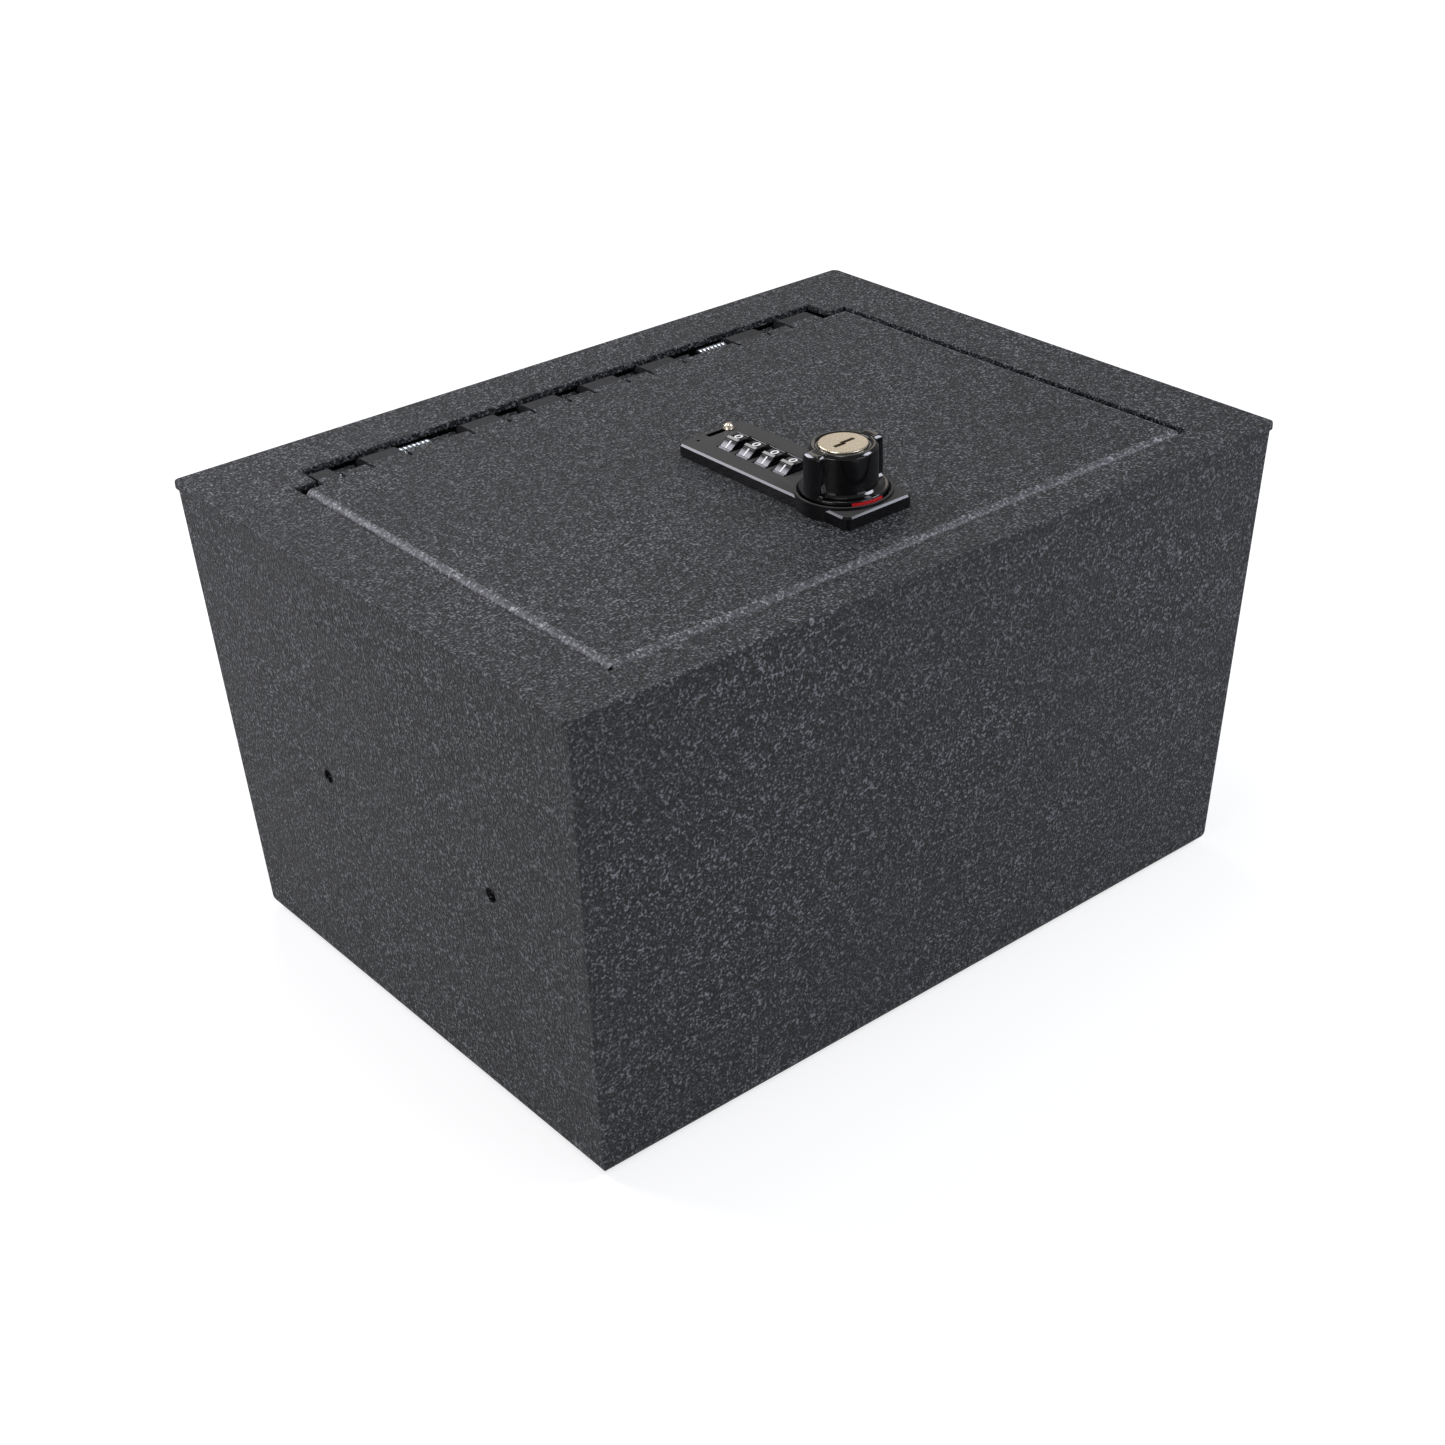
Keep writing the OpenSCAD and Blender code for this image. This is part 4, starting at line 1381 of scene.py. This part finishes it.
@dataclass
class Studio:
    """Camera, pale floor, even room light and lamps.

    Places, reaches and lamp sizes are in metres, the floor's half width and its level
    are in millimetres, and the camera's angles are in degrees.
    """

    lens_mm: float = 57.22
    sensor_mm: float = 36.0
    place: tuple[float, float, float] = (-0.43999, -0.54601, 0.46843)
    azimuth: float = -38.43
    elevation: float = 29.993
    roll: float = -2.37
    ambient: float = 0.27
    floor_mm: float = 40000.0
    floor_level: float = -0.2
    floor_colour: str = "#e6e6e6"
    floor_glow: tuple[float, float] = (1.42, 2.0)
    glow_reach: tuple[float, float] = (0.5, 2.0)
    floor_mirrored: float = 0.3
    lamps: tuple[Softbox, ...] = (
        Softbox("overhead_box", (-0.1, 0.0, 1.5), (0.42, 0.36), 3.2, "#fbfff8"),
        Softbox("left_box", (-1.6, -0.3, 0.42), (0.8, 0.8), 10.0),
        Softbox("left_back_box", (-0.58, 1.2, 1.08), (0.6, 0.6), 15.0, "#f4f2ff"),
        Softbox("back_box", (0.37, 1.05, 1.2), (0.32, 0.32), 2.4),
        Softbox("right_front_box", (1.1, -0.72, 1.2), (0.6, 0.5), 13.0, "#eef1ff"),
        Softbox("low_front_box", (0.45, -1.6, 0.32), (0.8, 0.5), 7.0, "#eef1ff"),
        Softbox("right_back_panel", (1.0, 0.93, 0.79), (0.3, 0.2), 0.2, "#fff4e6"),
    )

    def camera(self) -> None:
        """Sets the camera from its bearing, its angle from above and its roll."""
        a, e, r = (math.radians(v) for v in (self.azimuth, self.elevation, self.roll))
        back = Vector((
            math.sin(a) * math.cos(e), -math.cos(a) * math.cos(e), math.sin(e),
        ))
        level = Vector((math.cos(a), math.sin(a), 0.0))
        right = level * math.cos(r) + back.cross(level) * math.sin(r)
        up = back.cross(right)
        data = bpy.data.cameras.new("product_camera")
        data.lens, data.sensor_width = self.lens_mm, self.sensor_mm
        data.clip_start, data.clip_end = 0.01, 50.0
        holder = placed("product_camera", data)
        turn = Matrix((right, up, back)).transposed()
        holder.matrix_world = Matrix.Translation(self.place) @ turn.to_4x4()
        bpy.context.scene.camera = holder

    def floor(self) -> None:
        """Lays a pale floor that the camera sees as white where nothing shades it.

        Half of it is paint and half is a plain glow for rays from the camera, so an
        unshaded patch reaches white. The glow grows over glow_reach, away from the box,
        where the lamps fall off.
        """
        corners = np.array([[-1, -1, 0], [1, -1, 0], [1, 1, 0], [-1, 1, 0]])
        points = corners * self.floor_mm + np.array([0.0, 0.0, self.floor_level])
        sheet = mesh_piece("studio_floor", points, [[0, 1, 2, 3]], False)
        material, tree = empty_material("pale_studio_floor")
        path = add_node(tree, "ShaderNodeLightPath")
        mirrored = add_node(tree, "ShaderNodeMath", {
            0: path.outputs["Is Glossy Ray"], 1: self.floor_mirrored,
        }, operation="MULTIPLY")
        place = add_node(tree, "ShaderNodeTexCoord").outputs["Object"]
        reach = add_node(tree, "ShaderNodeVectorMath", {0: place}, operation="LENGTH")
        bright = add_node(tree, "ShaderNodeMapRange", {
            "Value": reach.outputs["Value"],
            "From Min": self.glow_reach[0], "From Max": self.glow_reach[1],
            "To Min": self.floor_glow[0], "To Max": self.floor_glow[1],
        })
        level = add_node(tree, "ShaderNodeMath", {
            0: path.outputs["Is Camera Ray"], 1: bright.outputs["Result"],
            2: mirrored.outputs["Value"],
        }, operation="MULTIPLY_ADD")
        glow = add_node(tree, "ShaderNodeEmission", {
            "Color": (1.0, 1.0, 1.0, 1.0), "Strength": level.outputs["Value"],
        })
        paint = add_node(tree, "ShaderNodeBsdfDiffuse", {
            "Color": linear(self.floor_colour),
        })
        both = add_node(tree, "ShaderNodeMixShader", {
            0: 0.5, 1: paint.outputs["BSDF"], 2: glow.outputs["Emission"],
        })
        add_node(tree, "ShaderNodeOutputMaterial", {"Surface": both.outputs["Shader"]})
        sheet.data.materials.append(material)
        sheet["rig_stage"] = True

    def surroundings(self) -> None:
        """Fills the room with even light, which the camera alone sees as white."""
        world = bpy.data.worlds.new("studio_room")
        world.use_nodes = True
        bpy.context.scene.world = world
        tree = world.node_tree
        tree.nodes.clear()
        path = add_node(tree, "ShaderNodeLightPath")
        level = add_node(tree, "ShaderNodeMapRange", {
            "Value": path.outputs["Is Camera Ray"],
            "To Min": self.ambient, "To Max": 1.0,
        })
        back = add_node(tree, "ShaderNodeBackground", {
            "Color": (1.0, 1.0, 1.0, 1.0), "Strength": level.outputs["Result"],
        })
        add_node(tree, "ShaderNodeOutputWorld", {"Surface": back.outputs["Background"]})

    def build(self) -> None:
        """Sets the whole studio."""
        bpy.context.scene.view_settings.view_transform = "Standard"
        self.surroundings()
        self.floor()
        for lamp in self.lamps:
            lamp.build()
        self.camera()


def clear_scene() -> None:
    """Removes what a new file holds."""
    for thing in list(bpy.data.objects):
        bpy.data.objects.remove(thing)


def main() -> None:
    """Builds every sub-assembly in order."""
    logging.basicConfig(level=logging.INFO, format="%(name)s: %(message)s")
    clear_scene()
    frame = Frame(Finishes())
    Studio().build()
    for part in (Housing, LidPlate, HingeSprings, DialLock):
        part(frame).build()


if __name__ == "__main__":
    main()
